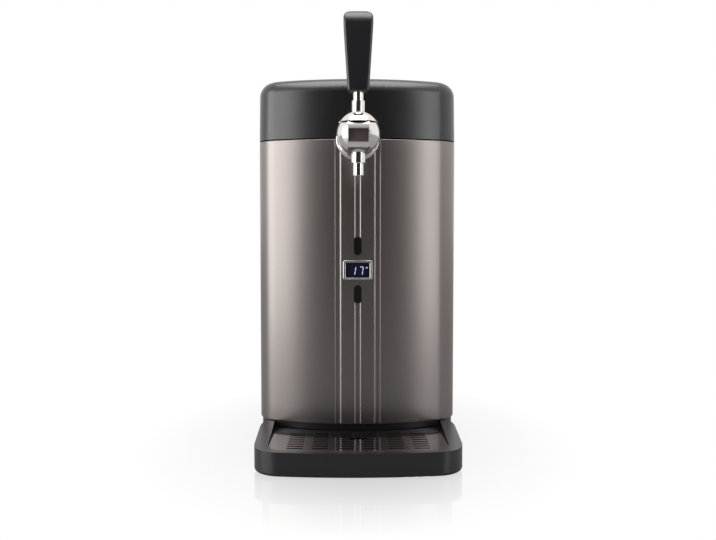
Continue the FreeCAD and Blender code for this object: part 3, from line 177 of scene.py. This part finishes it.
# fired alumina: white and chalky, with a faint warm mottle
finishes["module_ceramic"], tree, shader = newMaterial("aluminaCeramic", Roughness=0.6, IOR=1.76)
grain(tree, shader, 1.5, ("#e8e6df", "#f1efe9"))

# moulded nylon: dull dark grey, for the fan, the inlet and the rocker
finishes["inner_plastic"], tree, shader = newMaterial("mouldedNylon", Roughness=0.5, IOR=1.53)
grain(tree, shader, 1.0, ("#1a1a1c", "#222224"), rough=(0.42, 0.56), bump=0.1)

# vacuum-formed polystyrene: mid grey with a soft sheen
finishes["liner_plastic"], tree, shader = newMaterial("greyPolystyrene", Roughness=0.38, IOR=1.59)
grain(tree, shader, 1.2, ("#707173", "#7b7c7e"), rough=(0.32, 0.44), bump=0.06)

# hot-dip galvanised sheet: grey with a crystal spangle
finishes["supply_case"], tree, shader = newMaterial("galvanisedSheet", Metallic=1.0, Roughness=0.4)
cells(tree, shader, 9, ("#9fa2a4", "#b8babb"), "Color")

# solder mask: green lacquer over copper tracks
finishes["circuit_board"], tree, shader = newMaterial("solderMask", Roughness=0.3, IOR=1.5)
grain(tree, shader, 3, ("#0c4a2a", "#12603a"), rough=(0.25, 0.38), detail=0.0)

# plated brass: a pale yellow metal for the contacts and the sensor
finishes["contact_brass"], tree, shader = newMaterial("platedBrass", Metallic=1.0, Roughness=0.25)
grain(tree, shader, 2, ("#c9b478", "#d8c58c"))

# satin chrome frame: silver, softer than the tap
finishes["bezel_chrome"], tree, shader = newMaterial("satinChrome", Metallic=1.0, Roughness=0.2)
grain(tree, shader, 0.7, ("#bebdbe", "#cccbcc"), rough=(0.16, 0.24))

# smoked acrylic: black until the digits behind it light up, with a painted glow round them, a faint blue emission on
# the lens standing in for the digits' light spreading in it
finishes["window_black"], tree, shader = newMaterial("smokedAcrylic", Roughness=0.08, IOR=1.49)
grain(tree, shader, 8, ("#07070b", "#0a0a10"), rough=(0.05, 0.12))
lensLow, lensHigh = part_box("display_lens")
# painted glow: the lens emits a faint blue light, strongest at the display's middle and gone 15 mm from it
paintedGlowCoords = addNode(tree, "ShaderNodeTexCoord")
paintedGlowDistance = addNode(tree, "ShaderNodeVectorMath", {"operation": "DISTANCE", 1: ((lensLow + lensHigh) / 2)[:]},
                   {0: paintedGlowCoords.outputs["Object"]})
paintedGlowStrength = addNode(tree, "ShaderNodeMapRange", ramp(3 * mm, 15 * mm, 0.02, 0.002),
               {"Value": paintedGlowDistance.outputs["Value"]})
shader.inputs["Emission Color"].default_value = linearColour("#6a72d8")
tree.links.new(paintedGlowStrength.outputs[0], shader.inputs["Emission Strength"])

# gloss plate: dark brown-grey and mirror-like, set in the tap's recess
finishes["plate_black"], tree, shader = newMaterial("glossPlate", Roughness=0.12, IOR=1.7)
grain(tree, shader, 5, ("#4c4241", "#584d4b"), rough=(0.08, 0.16))
# shallow steps across the plate, each 5.6 mm tall, which reflect as level lines; a wave's scale of pi / 10
# over a length repeats once in that length
stepTall = 5.6 * mm
plateCoords = addNode(tree, "ShaderNodeTexCoord")
plateSteps = addNode(tree, "ShaderNodeTexWave",
                     {"bands_direction": "Z", "wave_profile": "SAW", "Scale": 0.314 / stepTall},
                     {"Vector": plateCoords.outputs["Object"]})
plateLift = addNode(tree, "ShaderNodeBump", {"Strength": 0.5, "Distance": 0.6 * mm},
                    {"Height": plateSteps.outputs["Fac"]})
tree.links.new(plateLift.outputs[0], shader.inputs["Normal"])

# satin button: painted shade, a darker black than the shells, so each key reads as a shaded hole in the skin
finishes["button_black"], tree, shader = newMaterial("satinButtonPaintedShade", Roughness=0.3, IOR=1.5)
grain(tree, shader, 0.7, ("#040304", "#070506"), rough=(0.26, 0.34), bump=0.08, depthMm=0.02)

# light-emitting segments: a pale violet light with a blue fringe
finishes["digit_glow"], tree, shader = newMaterial("digitLight", Roughness=0.3, Emission_Strength=0.72)
shader.inputs["Emission Color"].default_value = linearColour("#e2e2fb")
shader.inputs["Base Color"].default_value = linearColour("#8f93ff")

slotOf = {row["node"]: row["material_slot"] for row in frame["record"]["subparts"]}
for node, item in frame["nodes"].items():
    item.data.materials.clear()
    item.data.materials.append(finishes[slotOf[node]])


# Pieces

def addPiece(name, mesh, body, finish, standsFor=()):
    piece = bpy.data.objects.new(name, mesh)
    bpy.context.scene.collection.objects.link(piece)
    mesh.materials.clear()
    mesh.materials.append(finishes[finish])
    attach(piece, body)
    if standsFor:
        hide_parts(*standsFor)
    return piece


def meshFrom(name, points, faces):
    # a mesh whose faces all look outward
    mesh = bpy.data.meshes.new(name)
    mesh.from_pydata(points, [], faces)
    shape = bmesh.new()
    shape.from_mesh(mesh)
    bmesh.ops.recalc_face_normals(shape, faces=shape.faces)
    shape.to_mesh(mesh)
    shape.free()
    return mesh


def shadeBySharpness(mesh, angle):
    # smooth faces, with an edge kept sharp where its two faces turn by more than the angle
    mesh.polygons.foreach_set("use_smooth", np.ones(len(mesh.polygons), dtype=bool))
    shape = bmesh.new()
    shape.from_mesh(mesh)
    for edge in shape.edges:
        edge.smooth = len(edge.link_faces) == 2 and edge.calc_face_angle(0) < math.radians(angle)
    shape.to_mesh(mesh)
    shape.free()


def softened(node, widthMm):
    # a merged copy of the CAD solid whose edges are rolled over, as a mould or a polisher leaves them
    turn = 32  # degrees: an edge that turns by more is rolled
    source = frame["nodes"][node]
    mesh = source.data.copy()
    mesh.name = node + "_soft"
    shape = bmesh.new()
    shape.from_mesh(mesh)
    bmesh.ops.remove_doubles(shape, verts=shape.verts, dist=0.002 * mm)
    shape.to_mesh(mesh)
    shape.free()
    shadeBySharpness(mesh, turn)
    piece = addPiece(node + "_moulded", mesh, bodyOf[node], slotOf[node], (node,))
    roll = piece.modifiers.new("rolledEdges", "BEVEL")
    roll.width = widthMm * mm
    roll.segments = 2
    roll.limit_method = "ANGLE"
    roll.angle_limit = math.radians(turn)
    roll.miter_outer = "MITER_ARC"
    flatten = piece.modifiers.new("flatFaces", "WEIGHTED_NORMAL")
    flatten.keep_sharp = True
    return piece


print("moulded shells")
# width in mm of each piece's rolled edges
rolled = {
    "lid_cover": 0.6, "drip_tray": 0.8, "drip_grille": 0.35, "top_deck": 0.4,
    "upper_button": 0.7, "lower_button": 0.7, "base_plate": 0.5, "tap_body": 0.3,
    "tap_lever": 0.25, "spout": 0.4,
}
for node, widthMm in rolled.items():
    softened(node, widthMm)


# Outer skin: one sheet that runs round the housing, with three shallow flutes pressed into its front

skin = {
    "wall": 2.0 * mm, "bow": 283.0 * mm, "corner": 44.0 * mm, "rearCorner": 40.0 * mm, "edgeRoll": 1.2 * mm,
    "topDrop": 0.9 * mm, "hingeNotch": 13.0 * mm, "hingeRelief": 7.5 * mm,
    "flutes": (-27.5 * mm, 0.0, 27.5 * mm), "fluteHalf": 3.75 * mm, "wallRun": 2.5 * mm, "depth": 0.95 * mm,
    "fluteStop": (214.0 * mm, 300.0 * mm), "stopRun": 1.5 * mm, "panelGap": 0.4 * mm, "edgeDraw": 0.4,
    "sharpTurn": 40,
}
openings = {"front": (-0.13, -0.09), "button": (10.5 * mm, 25.4 * mm), "bezelEdge": 2.0 * mm, "tapRadius": 15.4 * mm,
            "spare": 5.0 * mm}


def planPath(half, front, rear, bow, corner, rearCorner, rearHalf):
    # The right half of the outline as x, y and outward normal against length: a bow, a front corner tangent
    # to it, a straight side, a rear corner and the rear face up to its opening
    bowY = front + bow
    cornerX = half - corner
    cornerY = bowY - math.sqrt((bow - corner) ** 2 - cornerX ** 2)
    tilt = math.atan2(cornerX, bowY - cornerY)
    fine = np.linspace(0, tilt, 260)
    turn = np.linspace(tilt, math.pi / 2, 40)[1:]
    back = np.linspace(math.pi / 2, math.pi, 24)
    rearX, rearY = half - rearCorner, rear - rearCorner
    side = np.linspace(cornerY, rearY, 8)[1:]
    x = np.concatenate((bow * np.sin(fine), cornerX + corner * np.sin(turn), np.full(7, half),
                        rearX + rearCorner * np.sin(back)[1:], [rearHalf]))
    y = np.concatenate((bowY - bow * np.cos(fine), cornerY - corner * np.cos(turn), side,
                        rearY - rearCorner * np.cos(back)[1:], [rear]))
    angle = np.concatenate((fine, turn, np.full(7, math.pi / 2), back[1:], [math.pi]))
    return x, y, np.sin(angle), -np.cos(angle)


def fluteDepth(x, z):
    # Depth of the flutes at each place: a flat floor with half-cosine walls; the middle flute fades out
    # between its two stops
    total = np.zeros(np.broadcast(x, z).shape)
    for middle in skin["flutes"]:
        out = np.abs(x - middle) - (skin["fluteHalf"] - skin["wallRun"] / 2)
        wall = 0.5 + 0.5 * np.cos(math.pi * np.clip(out / skin["wallRun"], 0, 1))
        if middle == 0:
            low, high = skin["fluteStop"]
            above = np.clip((z - low) / skin["stopRun"] + 0.5, 0, 1)
            below = np.clip((high - z) / skin["stopRun"] + 0.5, 0, 1)
            wall = wall * (1 - above * below)
        total = np.maximum(total, wall)
    return total * skin["depth"]


def gridFaces(rows, columns, closed=False):
    # quads of a grid of rows by columns; a closed grid joins its last row to its first
    i = np.arange(rows if closed else rows - 1)[:, None]
    j = np.arange(columns - 1)[None, :]
    after = (i + 1) % rows
    corners = (i * columns + j, i * columns + j + 1, after * columns + j + 1, after * columns + j)
    return np.stack(corners, axis=-1).reshape(-1, 4)


def makeSkin():
    low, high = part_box("outer_shell")
    half, front, rear = high[0], low[1], high[1]
    high[2] -= skin["topDrop"]  # the shadow line below the lid
    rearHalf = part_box("rear_panel")[1][0] + skin["panelGap"]
    x, y, nx, ny = planPath(half, front, rear, skin["bow"], skin["corner"], skin["rearCorner"], rearHalf)
    x, nx = np.concatenate((-x[::-1], x[1:])), np.concatenate((-nx[::-1], nx[1:]))
    y, ny = np.concatenate((y[::-1], y[1:])), np.concatenate((ny[::-1], ny[1:]))
    # the section through the sheet: up the outside, over the rolled top edge, down the inside, under the bottom
    stopLow, stopHigh = skin["fluteStop"]
    steps = np.array([0, 0.3, 0.65, 1.0])
    roll = skin["edgeRoll"]
    nearStop = skin["stopRun"] * np.linspace(-1, 1, 7)
    outZ = np.concatenate((low[2] + roll * steps, np.linspace(low[2], stopLow, 8)[1:-1],
                           stopLow + nearStop, np.linspace(stopLow, stopHigh, 6)[1:-1],
                           stopHigh + nearStop, np.linspace(stopHigh, high[2], 8)[1:-1],
                           high[2] - roll * steps[::-1]))
    # the roll draws the edge in along a quarter ellipse
    rise = np.minimum(outZ - low[2], high[2] - outZ)
    drawn = skin["wall"] * skin["edgeDraw"] * (1 - np.sqrt(np.clip(1 - (1 - np.clip(rise / roll, 0, 1)) ** 2, 0, 1)))
    inZ = np.array([high[2], low[2]])
    z = np.concatenate((outZ, inZ))[:, None]
    inset = np.concatenate((drawn, np.full(2, skin["wall"])))[:, None]
    depth = fluteDepth(x[None, :], z)
    depth[len(outZ):] = 0
    depth = depth * (np.abs(nx)[None, :] < 0.5)
    inset = inset + depth
    points = np.stack(np.broadcast_arrays(x - nx * inset, y - ny * inset, z), axis=-1).reshape(-1, 3)
    rows, columns = len(z), len(x)
    faces = gridFaces(rows, columns, closed=True)
    caps = [list(range(0, rows * columns, columns)), list(range(columns - 1, rows * columns, columns))[::-1]]
    return meshFrom("outerSkin", points.tolist(), faces.tolist() + caps)


def prism(outline, near, far):
    # a closed prism between two depths, from an outline in x and z
    count = len(outline)
    points = [(px, near, pz) for px, pz in outline] + [(px, far, pz) for px, pz in outline]
    sides = [[i, (i + 1) % count, count + (i + 1) % count, count + i] for i in range(count)]
    return meshFrom("opening", points, sides + [list(range(count))[::-1], list(range(count, 2 * count))])


def stadiumOutline(middleZ, width, length):
    # two half circles joined by straight sides: angle round each end, shifted up or down
    angle = np.linspace(0, math.pi, 15)
    reach, radius = (length - width) / 2, width / 2
    x = np.concatenate((radius * np.cos(angle), -radius * np.cos(angle)))
    z = np.concatenate((radius * np.sin(angle) + reach, -radius * np.sin(angle) - reach)) + middleZ
    return list(zip(x.tolist(), z.tolist()))


def cutOpenings(mesh):
    # button holes, the display's opening, the tap's hole, and the rear relief that the open lid swings into
    outlines = []
    for node in ("upper_button", "lower_button"):
        low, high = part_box(node)
        outlines.append(stadiumOutline((low[2] + high[2]) / 2, *openings["button"]))
    low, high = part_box("display_bezel")
    edge = openings["bezelEdge"]
    outlines.append([(low[0] + edge, low[2] + edge), (high[0] - edge, low[2] + edge),
                     (high[0] - edge, high[2] - edge), (low[0] + edge, high[2] - edge)])
    ring = np.linspace(0, 2 * math.pi, 72, endpoint=False)
    tapZ = sum(corner[2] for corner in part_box("tap_flange")) / 2
    radius = openings["tapRadius"]
    outlines.append(list(zip((radius * np.cos(ring)).tolist(), (tapZ + radius * np.sin(ring)).tolist())))
    piece = bpy.data.objects.new("cutting", mesh)
    bpy.context.scene.collection.objects.link(piece)
    helpers = []
    high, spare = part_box("outer_shell")[1], openings["spare"]
    wide, under, over = high[0] + spare, high[2] - skin["hingeRelief"], high[2] + spare
    relief = [(-wide, under), (wide, under), (wide, over), (-wide, over)]
    cuts = [(outline, *openings["front"]) for outline in outlines]
    cuts.append((relief, high[1] - skin["hingeNotch"], high[1] + spare))
    for outline, near, far in cuts:
        helper = bpy.data.objects.new("opening", prism(outline, near, far))
        bpy.context.scene.collection.objects.link(helper)
        cut = piece.modifiers.new("opening", "BOOLEAN")
        cut.object, cut.operation, cut.solver = helper, "DIFFERENCE", "EXACT"
        helpers.append(helper)
    done = bpy.data.meshes.new_from_object(piece.evaluated_get(bpy.context.evaluated_depsgraph_get()))
    for helper in helpers + [piece]:
        bpy.data.objects.remove(helper)
    done.name = "outerSkin"
    return done


print("outer skin")
skinMesh = cutOpenings(makeSkin())
shadeBySharpness(skinMesh, skin["sharpTurn"])
addPiece("outerSkin", skinMesh, "housing", "titanium_skin", ("outer_shell",))

# Handle grip: a tapered paddle with round shoulders, whose front face rolls back over the top

grip = {
    "foot": 13.8 * mm, "widest": 19.1 * mm, "crown": 19.0 * mm, "shoulder": 10.0 * mm, "round": 17.0 * mm,
    "backRound": 4.0 * mm, "edge": 3.6 * mm, "edgeShare": 0.45, "footEdge": 2.4 * mm, "bulge": 0.5 * mm,
    "sharpTurn": 40,
}


def quarterTurn(rise, radius):
    # how far a quarter circle has come in once it has risen by some share of its radius
    share = np.clip(rise / radius, 0, 1)
    return radius * (1 - np.sqrt(1 - share ** 2))


def makeGrip():
    # sections up the grip: a rounded rectangle whose half width runs from the foot to the widest place, with the
    # shoulders, the front's roll and the back's edge each drawn in by a quarter circle
    low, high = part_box("handle_grip")
    front, back, foot, top = low[1], high[1], low[2], high[2]
    swing = np.linspace(0, math.pi / 2, 7)
    footTop, roundLow = foot + grip["footEdge"], top - grip["round"]
    z = np.concatenate((foot + grip["footEdge"] * (1 - np.cos(swing)), np.linspace(footTop, roundLow, 9)[1:-1],
                        roundLow + grip["round"] * np.sin(np.linspace(0, math.pi / 2, 26))))
    widest = top - grip["crown"]
    half = grip["foot"] + (grip["widest"] - grip["foot"]) * np.clip((z - foot) / (widest - foot), 0, 1)
    footIn = quarterTurn(footTop - z, grip["footEdge"])
    half = half - footIn - quarterTurn(z - (top - grip["shoulder"]), grip["shoulder"])
    near = front + footIn + quarterTurn(z - roundLow, grip["round"])
    far = back - footIn - quarterTurn(z - (top - grip["backRound"]), grip["backRound"])
    edge = np.minimum(grip["edge"], grip["edgeShare"] * (far - near))
    corner = np.linspace(0, math.pi / 2, 7)
    across = np.linspace(-1, 1, 11)[1:-1]
    # round the section: front face, right side with its two corners, back face, left side
    half, near, far, edge, z = (values[:, None] for values in (half, near, far, edge, z))
    flat = half - edge
    thickness = np.clip((far - near) / (back - front), 0, 1)
    frontX, frontY = flat * across, near - grip["bulge"] * (1 - across ** 2) * thickness
    rightX = np.concatenate((flat + edge * np.sin(corner), flat + edge * np.cos(corner)), axis=1)
    rightY = np.concatenate((near + edge * (1 - np.cos(corner)), far - edge * (1 - np.sin(corner))), axis=1)
    backX, backY = -flat * across, far + 0 * across
    x = np.concatenate((frontX, rightX, backX, -rightX[:, ::-1]), axis=1)
    y = np.concatenate((frontY, rightY, backY, rightY[:, ::-1]), axis=1)
    points = np.stack((x, y, z + 0 * x), axis=-1)
    rows, columns = x.shape
    faces = gridFaces(rows, columns + 1)
    faces = np.where(faces % (columns + 1) == columns, faces - columns, faces)
    faces = faces - faces // (columns + 1)
    ends = [list(range(columns))[::-1], list(range((rows - 1) * columns, rows * columns))]
    mesh = meshFrom("handleGrip", points.reshape(-1, 3).tolist(), faces.tolist() + ends)
    shadeBySharpness(mesh, grip["sharpTurn"])
    return addPiece("handleGrip", mesh, bodyOf["handle_grip"], slotOf["handle_grip"], ("handle_grip",))


print("handle grip")
makeGrip()

# Display bezel: a frame with round corners and domed bars, narrower inside than outside

bezel = {"corner": 3.0 * mm, "innerCorner": 0.8 * mm, "windowGap": 0.1 * mm, "dome": 2.6, "skirt": 0.3,
         "under": 0.9 * mm, "sharpTurn": 50}


def roundedRing(halfWidth, halfHeight, radius, perCorner=9, perSide=7):
    # a rounded rectangle as x and z, corner after corner: quarter circles joined by straight runs
    x, z = [], []
    corners = ((1, 1), (-1, 1), (-1, -1), (1, -1))
    for number, (signX, signZ) in enumerate(corners):
        start = number * math.pi / 2
        angle = np.linspace(start, start + math.pi / 2, perCorner)
        x.append(signX * (halfWidth - radius) + radius * np.cos(angle))
        z.append(signZ * (halfHeight - radius) + radius * np.sin(angle))
        nextX, nextZ = corners[(number + 1) % 4]
        share = np.linspace(0, 1, perSide + 2)[1:-1]
        endX = nextX * (halfWidth - radius) + radius * math.cos(angle[-1])
        endZ = nextZ * (halfHeight - radius) + radius * math.sin(angle[-1])
        x.append(x[-1][-1] + (endX - x[-1][-1]) * share)
        z.append(z[-1][-1] + (endZ - z[-1][-1]) * share)
    return np.concatenate(x), np.concatenate(z)


def makeBezel():
    # rings from the frame's outer edge to its window; the height above the skin follows a superellipse, and the
    # underside follows the skin's bow
    low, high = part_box("display_bezel")
    lensLow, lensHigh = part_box("display_lens")
    middleZ = (low[2] + high[2]) / 2
    outer = np.array((high[0], (high[2] - low[2]) / 2))
    inner = np.array((lensHigh[0], (lensHigh[2] - lensLow[2]) / 2)) + bezel["windowGap"]
    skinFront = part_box("outer_shell")[0][1]
    rise = skinFront - low[1]
    skirt = bezel["skirt"] * rise

    def ringAt(share):
        # the ring at some share of the way in, with the bow of the skin behind it
        width, height = outer + (inner - outer) * share
        x, z = roundedRing(width, height, bezel["corner"] + (bezel["innerCorner"] - bezel["corner"]) * share)
        return x, z, skin["bow"] - np.sqrt(skin["bow"] ** 2 - x ** 2)

    rings = []
    for share in 0.5 - 0.5 * np.cos(np.linspace(0, math.pi, 13)):
        x, z, bow = ringAt(share)
        height = rise * (1 - abs(2 * share - 1) ** bezel["dome"]) ** (1 / bezel["dome"])
        # below the skirt the frame's edge goes over to the skin's bow
        rings.append((x, skinFront - height + bow * max(0, 1 - height / skirt), z))
    for share in (1.0, 0.0):
        x, z, bow = ringAt(share)
        rings.append((x, skinFront + bow + bezel["under"], z))
    grid = np.stack([np.stack((x, y, z + middleZ), axis=-1) for x, y, z in rings])
    rows, columns = grid.shape[:2]
    ahead = np.roll(np.arange(columns), -1)
    here = np.arange(rows)[:, None] * columns
    after = np.roll(here, -1, axis=0)
    corners = (here + np.arange(columns), here + ahead, after + ahead, after + np.arange(columns))
    faces = np.stack(corners, axis=-1).reshape(-1, 4)
    mesh = meshFrom("bezelFrame", grid.reshape(-1, 3).tolist(), faces.tolist())
    shadeBySharpness(mesh, bezel["sharpTurn"])
    return addPiece("bezelFrame", mesh, "housing", "bezel_chrome", ("display_bezel",))


print("display bezel")
makeBezel()

# Display digits: seven-segment strokes, leaning over, lit from behind the window

digits = {
    "height": 11.0 * mm, "width": 4.8 * mm, "stroke": 1.0 * mm, "lean": math.radians(9), "gap": 0.25 * mm,
    "middle": (0.6 * mm, -0.9 * mm), "pitch": 10.3 * mm, "shift": 0.6, "proud": 0.05 * mm, "text": "17",
    "degree": 1.1 * mm, "degreeAt": 11.3 * mm, "degreeHole": 0.5,
}
# each lit stroke's ends, in half widths across and half heights up
topBar, upperRight, lowerRight = ((-1, 1), (1, 1)), ((1, 1), (1, 0)), ((1, 0), (1, -1))
litStrokes = {"1": (upperRight, lowerRight), "7": (topBar, upperRight, lowerRight)}


def strokeOutline(start, end, thick, gap):
    # a bar with pointed ends: six points, half a stroke to each side of its line
    start, end = np.array(start), np.array(end)
    along = (end - start) / np.linalg.norm(end - start)
    across = np.array((-along[1], along[0])) * thick / 2
    tip, shoulder = gap, gap + thick / 2
    return np.array([start + along * tip, start + along * shoulder + across, end - along * shoulder + across,
                     end - along * tip, end - along * shoulder - across, start + along * shoulder - across])


def makeDigits():
    lensLow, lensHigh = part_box("display_lens")
    faceY = lensLow[1] - digits["proud"]
    middleZ = (lensLow[2] + lensHigh[2]) / 2
    half = np.array((digits["width"] / 2, digits["height"] / 2))
    outlines = []
    for number, figure in enumerate(digits["text"]):
        centre = np.array((digits["middle"][0] + (number - digits["shift"]) * digits["pitch"], digits["middle"][1]))
        for stroke in litStrokes[figure]:
            ends = [centre + half * np.array(point) for point in stroke]
            outlines.append(strokeOutline(*ends, digits["stroke"], digits["gap"]))
    angles = np.linspace(0, 2 * math.pi, 24, endpoint=False)
    ringX, ringZ = digits["middle"][0] + digits["degreeAt"], digits["middle"][1] + half[1] - digits["degree"]
    ringCentre = np.array((ringX, ringZ))
    outer = np.stack((np.cos(angles), np.sin(angles)), axis=1) * digits["degree"] + ringCentre
    inner = (outer - ringCentre) * digits["degreeHole"] + ringCentre
    points, faces = [], []
    for outline in outlines:
        faces.append(list(range(len(points), len(points) + len(outline))))
        points.extend(outline)
    base = len(points)
    points.extend(outer)
    points.extend(inner)
    count = len(angles)
    for i in range(count):
        ahead = (i + 1) % count
        faces.append([base + i, base + ahead, base + count + ahead, base + count + i])
    flat = np.array(points)
    # lean: each point moves right by its height times the tangent of the lean
    x = flat[:, 0] + flat[:, 1] * math.tan(digits["lean"])
    placed = np.stack((x, np.full(len(x), faceY), flat[:, 1] + middleZ), axis=1)
    mesh = bpy.data.meshes.new("displayDigits")
    mesh.from_pydata(placed.tolist(), [], faces)
    shape = bmesh.new()
    shape.from_mesh(mesh)
    for face in shape.faces:
        face.normal_update()
        if face.normal.y > 0:
            face.normal_flip()
    shape.to_mesh(mesh)
    shape.free()
    return addPiece("displayDigits", mesh, "housing", "digit_glow")


print("display digits")
makeDigits()


# Studio: pale floor, plain soft light, camera at the photograph's angle

print("studio")
photoCamera = {"place": (-14.9, -1276.4, 318.4), "tiltDown": 3.0, "turnRight": 0.75, "focalPixels": 851.0,
               "photoWidth": 716.0, "sensor": 36.0}
camera = bpy.data.cameras.new("photoCamera")
camera.sensor_width = photoCamera["sensor"]
camera.lens = photoCamera["focalPixels"] * photoCamera["sensor"] / photoCamera["photoWidth"]
cameraObject = bpy.data.objects.new("photoCamera", camera)
cameraObject.location = Vector(photoCamera["place"]) * mm
tilt, turn = photoCamera["tiltDown"], photoCamera["turnRight"]
cameraObject.rotation_euler = (math.radians(90 - tilt), 0, math.radians(-turn))
bpy.context.scene.collection.objects.link(cameraObject)
bpy.context.scene.camera = cameraObject

# distances in metres from the middle of the object, where the sheet and its mirror image start and stop fading
floor = {"reach": 12.0, "colour": "#7e7e7e", "polish": 0.24, "squeeze": (1.0, 0.75, 1.0), "paper": (0.84, 1.0),
         "paperFade": (0.16, 0.32), "mirrorFade": (0.18, 0.32)}
floorMesh = bpy.data.meshes.new("studioFloor")
reach = floor["reach"]
floorCorners = [(-reach, -reach, 0), (reach, -reach, 0), (reach, reach, 0), (-reach, reach, 0)]
floorMesh.from_pydata(floorCorners, [], [(0, 1, 2, 3)])
floorObject = bpy.data.objects.new("studioFloor", floorMesh)
bpy.context.scene.collection.objects.link(floorObject)
# polished pale acrylic sheet: it keeps a soft shadow and a faint mirror image of what stands on it
floorMaterial, tree, shader = newMaterial("paleAcrylicSheet", Roughness=0.3, IOR=1.4)
shader.inputs["Base Color"].default_value = linearColour(floor["colour"])
rays = addNode(tree, "ShaderNodeLightPath")
glow = addNode(tree, "ShaderNodeEmission", {"Color": (1, 1, 1, 1), "Strength": 1.0})
spot = addNode(tree, "ShaderNodeTexCoord")
squeezed = addNode(tree, "ShaderNodeVectorMath", {"operation": "MULTIPLY", 1: floor["squeeze"]},
                   {0: spot.outputs["Object"]})
far = addNode(tree, "ShaderNodeVectorMath", {"operation": "LENGTH"}, {0: squeezed.outputs[0]})
# to the camera the sheet goes over to white paper away from the object
fade = addNode(tree, "ShaderNodeMapRange", ramp(*floor["paperFade"], *floor["paper"]),
               {"Value": far.outputs["Value"]})
floorPaper = addNode(tree, "ShaderNodeMixShader", None,
                     {0: fade.outputs[0], 1: shader.outputs[0], 2: glow.outputs[0]})
# the mirror image fades out in front of the object
mirror = addNode(tree, "ShaderNodeBsdfGlossy", {"Color": (1, 1, 1, 1), "Roughness": 0.05})
polish = addNode(tree, "ShaderNodeMapRange", ramp(*floor["mirrorFade"], floor["polish"], 0.0),
                 {"Value": far.outputs["Value"]})
seen = addNode(tree, "ShaderNodeMixShader", None,
               {0: polish.outputs[0], 1: floorPaper.outputs[0], 2: mirror.outputs[0]})
floorBlend = addNode(tree, "ShaderNodeMixShader", None,
                     {0: rays.outputs["Is Camera Ray"], 1: shader.outputs[0], 2: seen.outputs[0]})
tree.links.new(floorBlend.outputs[0], tree.nodes["Material Output"].inputs["Surface"])
floorMesh.materials.append(floorMaterial)

softboxes = {
    "leftSoftbox": {"place": (-1.37, -0.69, 0.45), "size": (1.4, 1.6), "watts": 20},
    "rightSoftbox": {"place": (1.14, -1.05, 0.45), "size": (0.3, 1.5), "watts": 5},
    "topSoftbox": {"place": (0.0, -0.3, 2.0), "size": (1.8, 1.5), "watts": 30},
}
aim = Vector((0, 0, 0.28))
for name, box in softboxes.items():
    lamp = bpy.data.lights.new(name, "AREA")
    lamp.shape = "RECTANGLE"
    lamp.size, lamp.size_y = box["size"]
    lamp.energy = box["watts"]
    holder = bpy.data.objects.new(name, lamp)
    holder.location = box["place"]
    holder.rotation_euler = (aim - Vector(box["place"])).to_track_quat("-Z", "Y").to_euler()
    bpy.context.scene.collection.objects.link(holder)

room = {"overhead": 0.35, "from": (-0.88, -0.12), "strength": (0.03, 1.0), "colour": "#fbfafa"}
world = bpy.data.worlds.new("studio")
bpy.context.scene.world = world
world.use_nodes = True
tree = world.node_tree
tree.nodes.clear()
rays = addNode(tree, "ShaderNodeLightPath")
aimAt = addNode(tree, "ShaderNodeTexCoord")
sides = addNode(tree, "ShaderNodeSeparateXYZ", None, {0: aimAt.outputs["Generated"]})
# the paper sweep behind and beside is white, and the studio in front of the object is dim, less so overhead
behind = addNode(tree, "ShaderNodeMath", {"operation": "MULTIPLY_ADD", 1: room["overhead"]},
                 {0: sides.outputs["Z"], 2: sides.outputs["Y"]})
depthShade = addNode(tree, "ShaderNodeMapRange", ramp(*room["from"], *room["strength"]),
                     {"Value": behind.outputs[0]})
studioLight = addNode(tree, "ShaderNodeBackground", {"Color": linearColour(room["colour"])},
                      {"Strength": depthShade.outputs[0]})
backdrop = addNode(tree, "ShaderNodeBackground", {"Color": (1, 1, 1, 1), "Strength": 1.0})
worldBlend = addNode(tree, "ShaderNodeMixShader", None,
                     {0: rays.outputs["Is Camera Ray"], 1: studioLight.outputs[0], 2: backdrop.outputs[0]})
addNode(tree, "ShaderNodeOutputWorld", None, {"Surface": worldBlend.outputs[0]})
bpy.context.scene.view_settings.view_transform = "Standard"
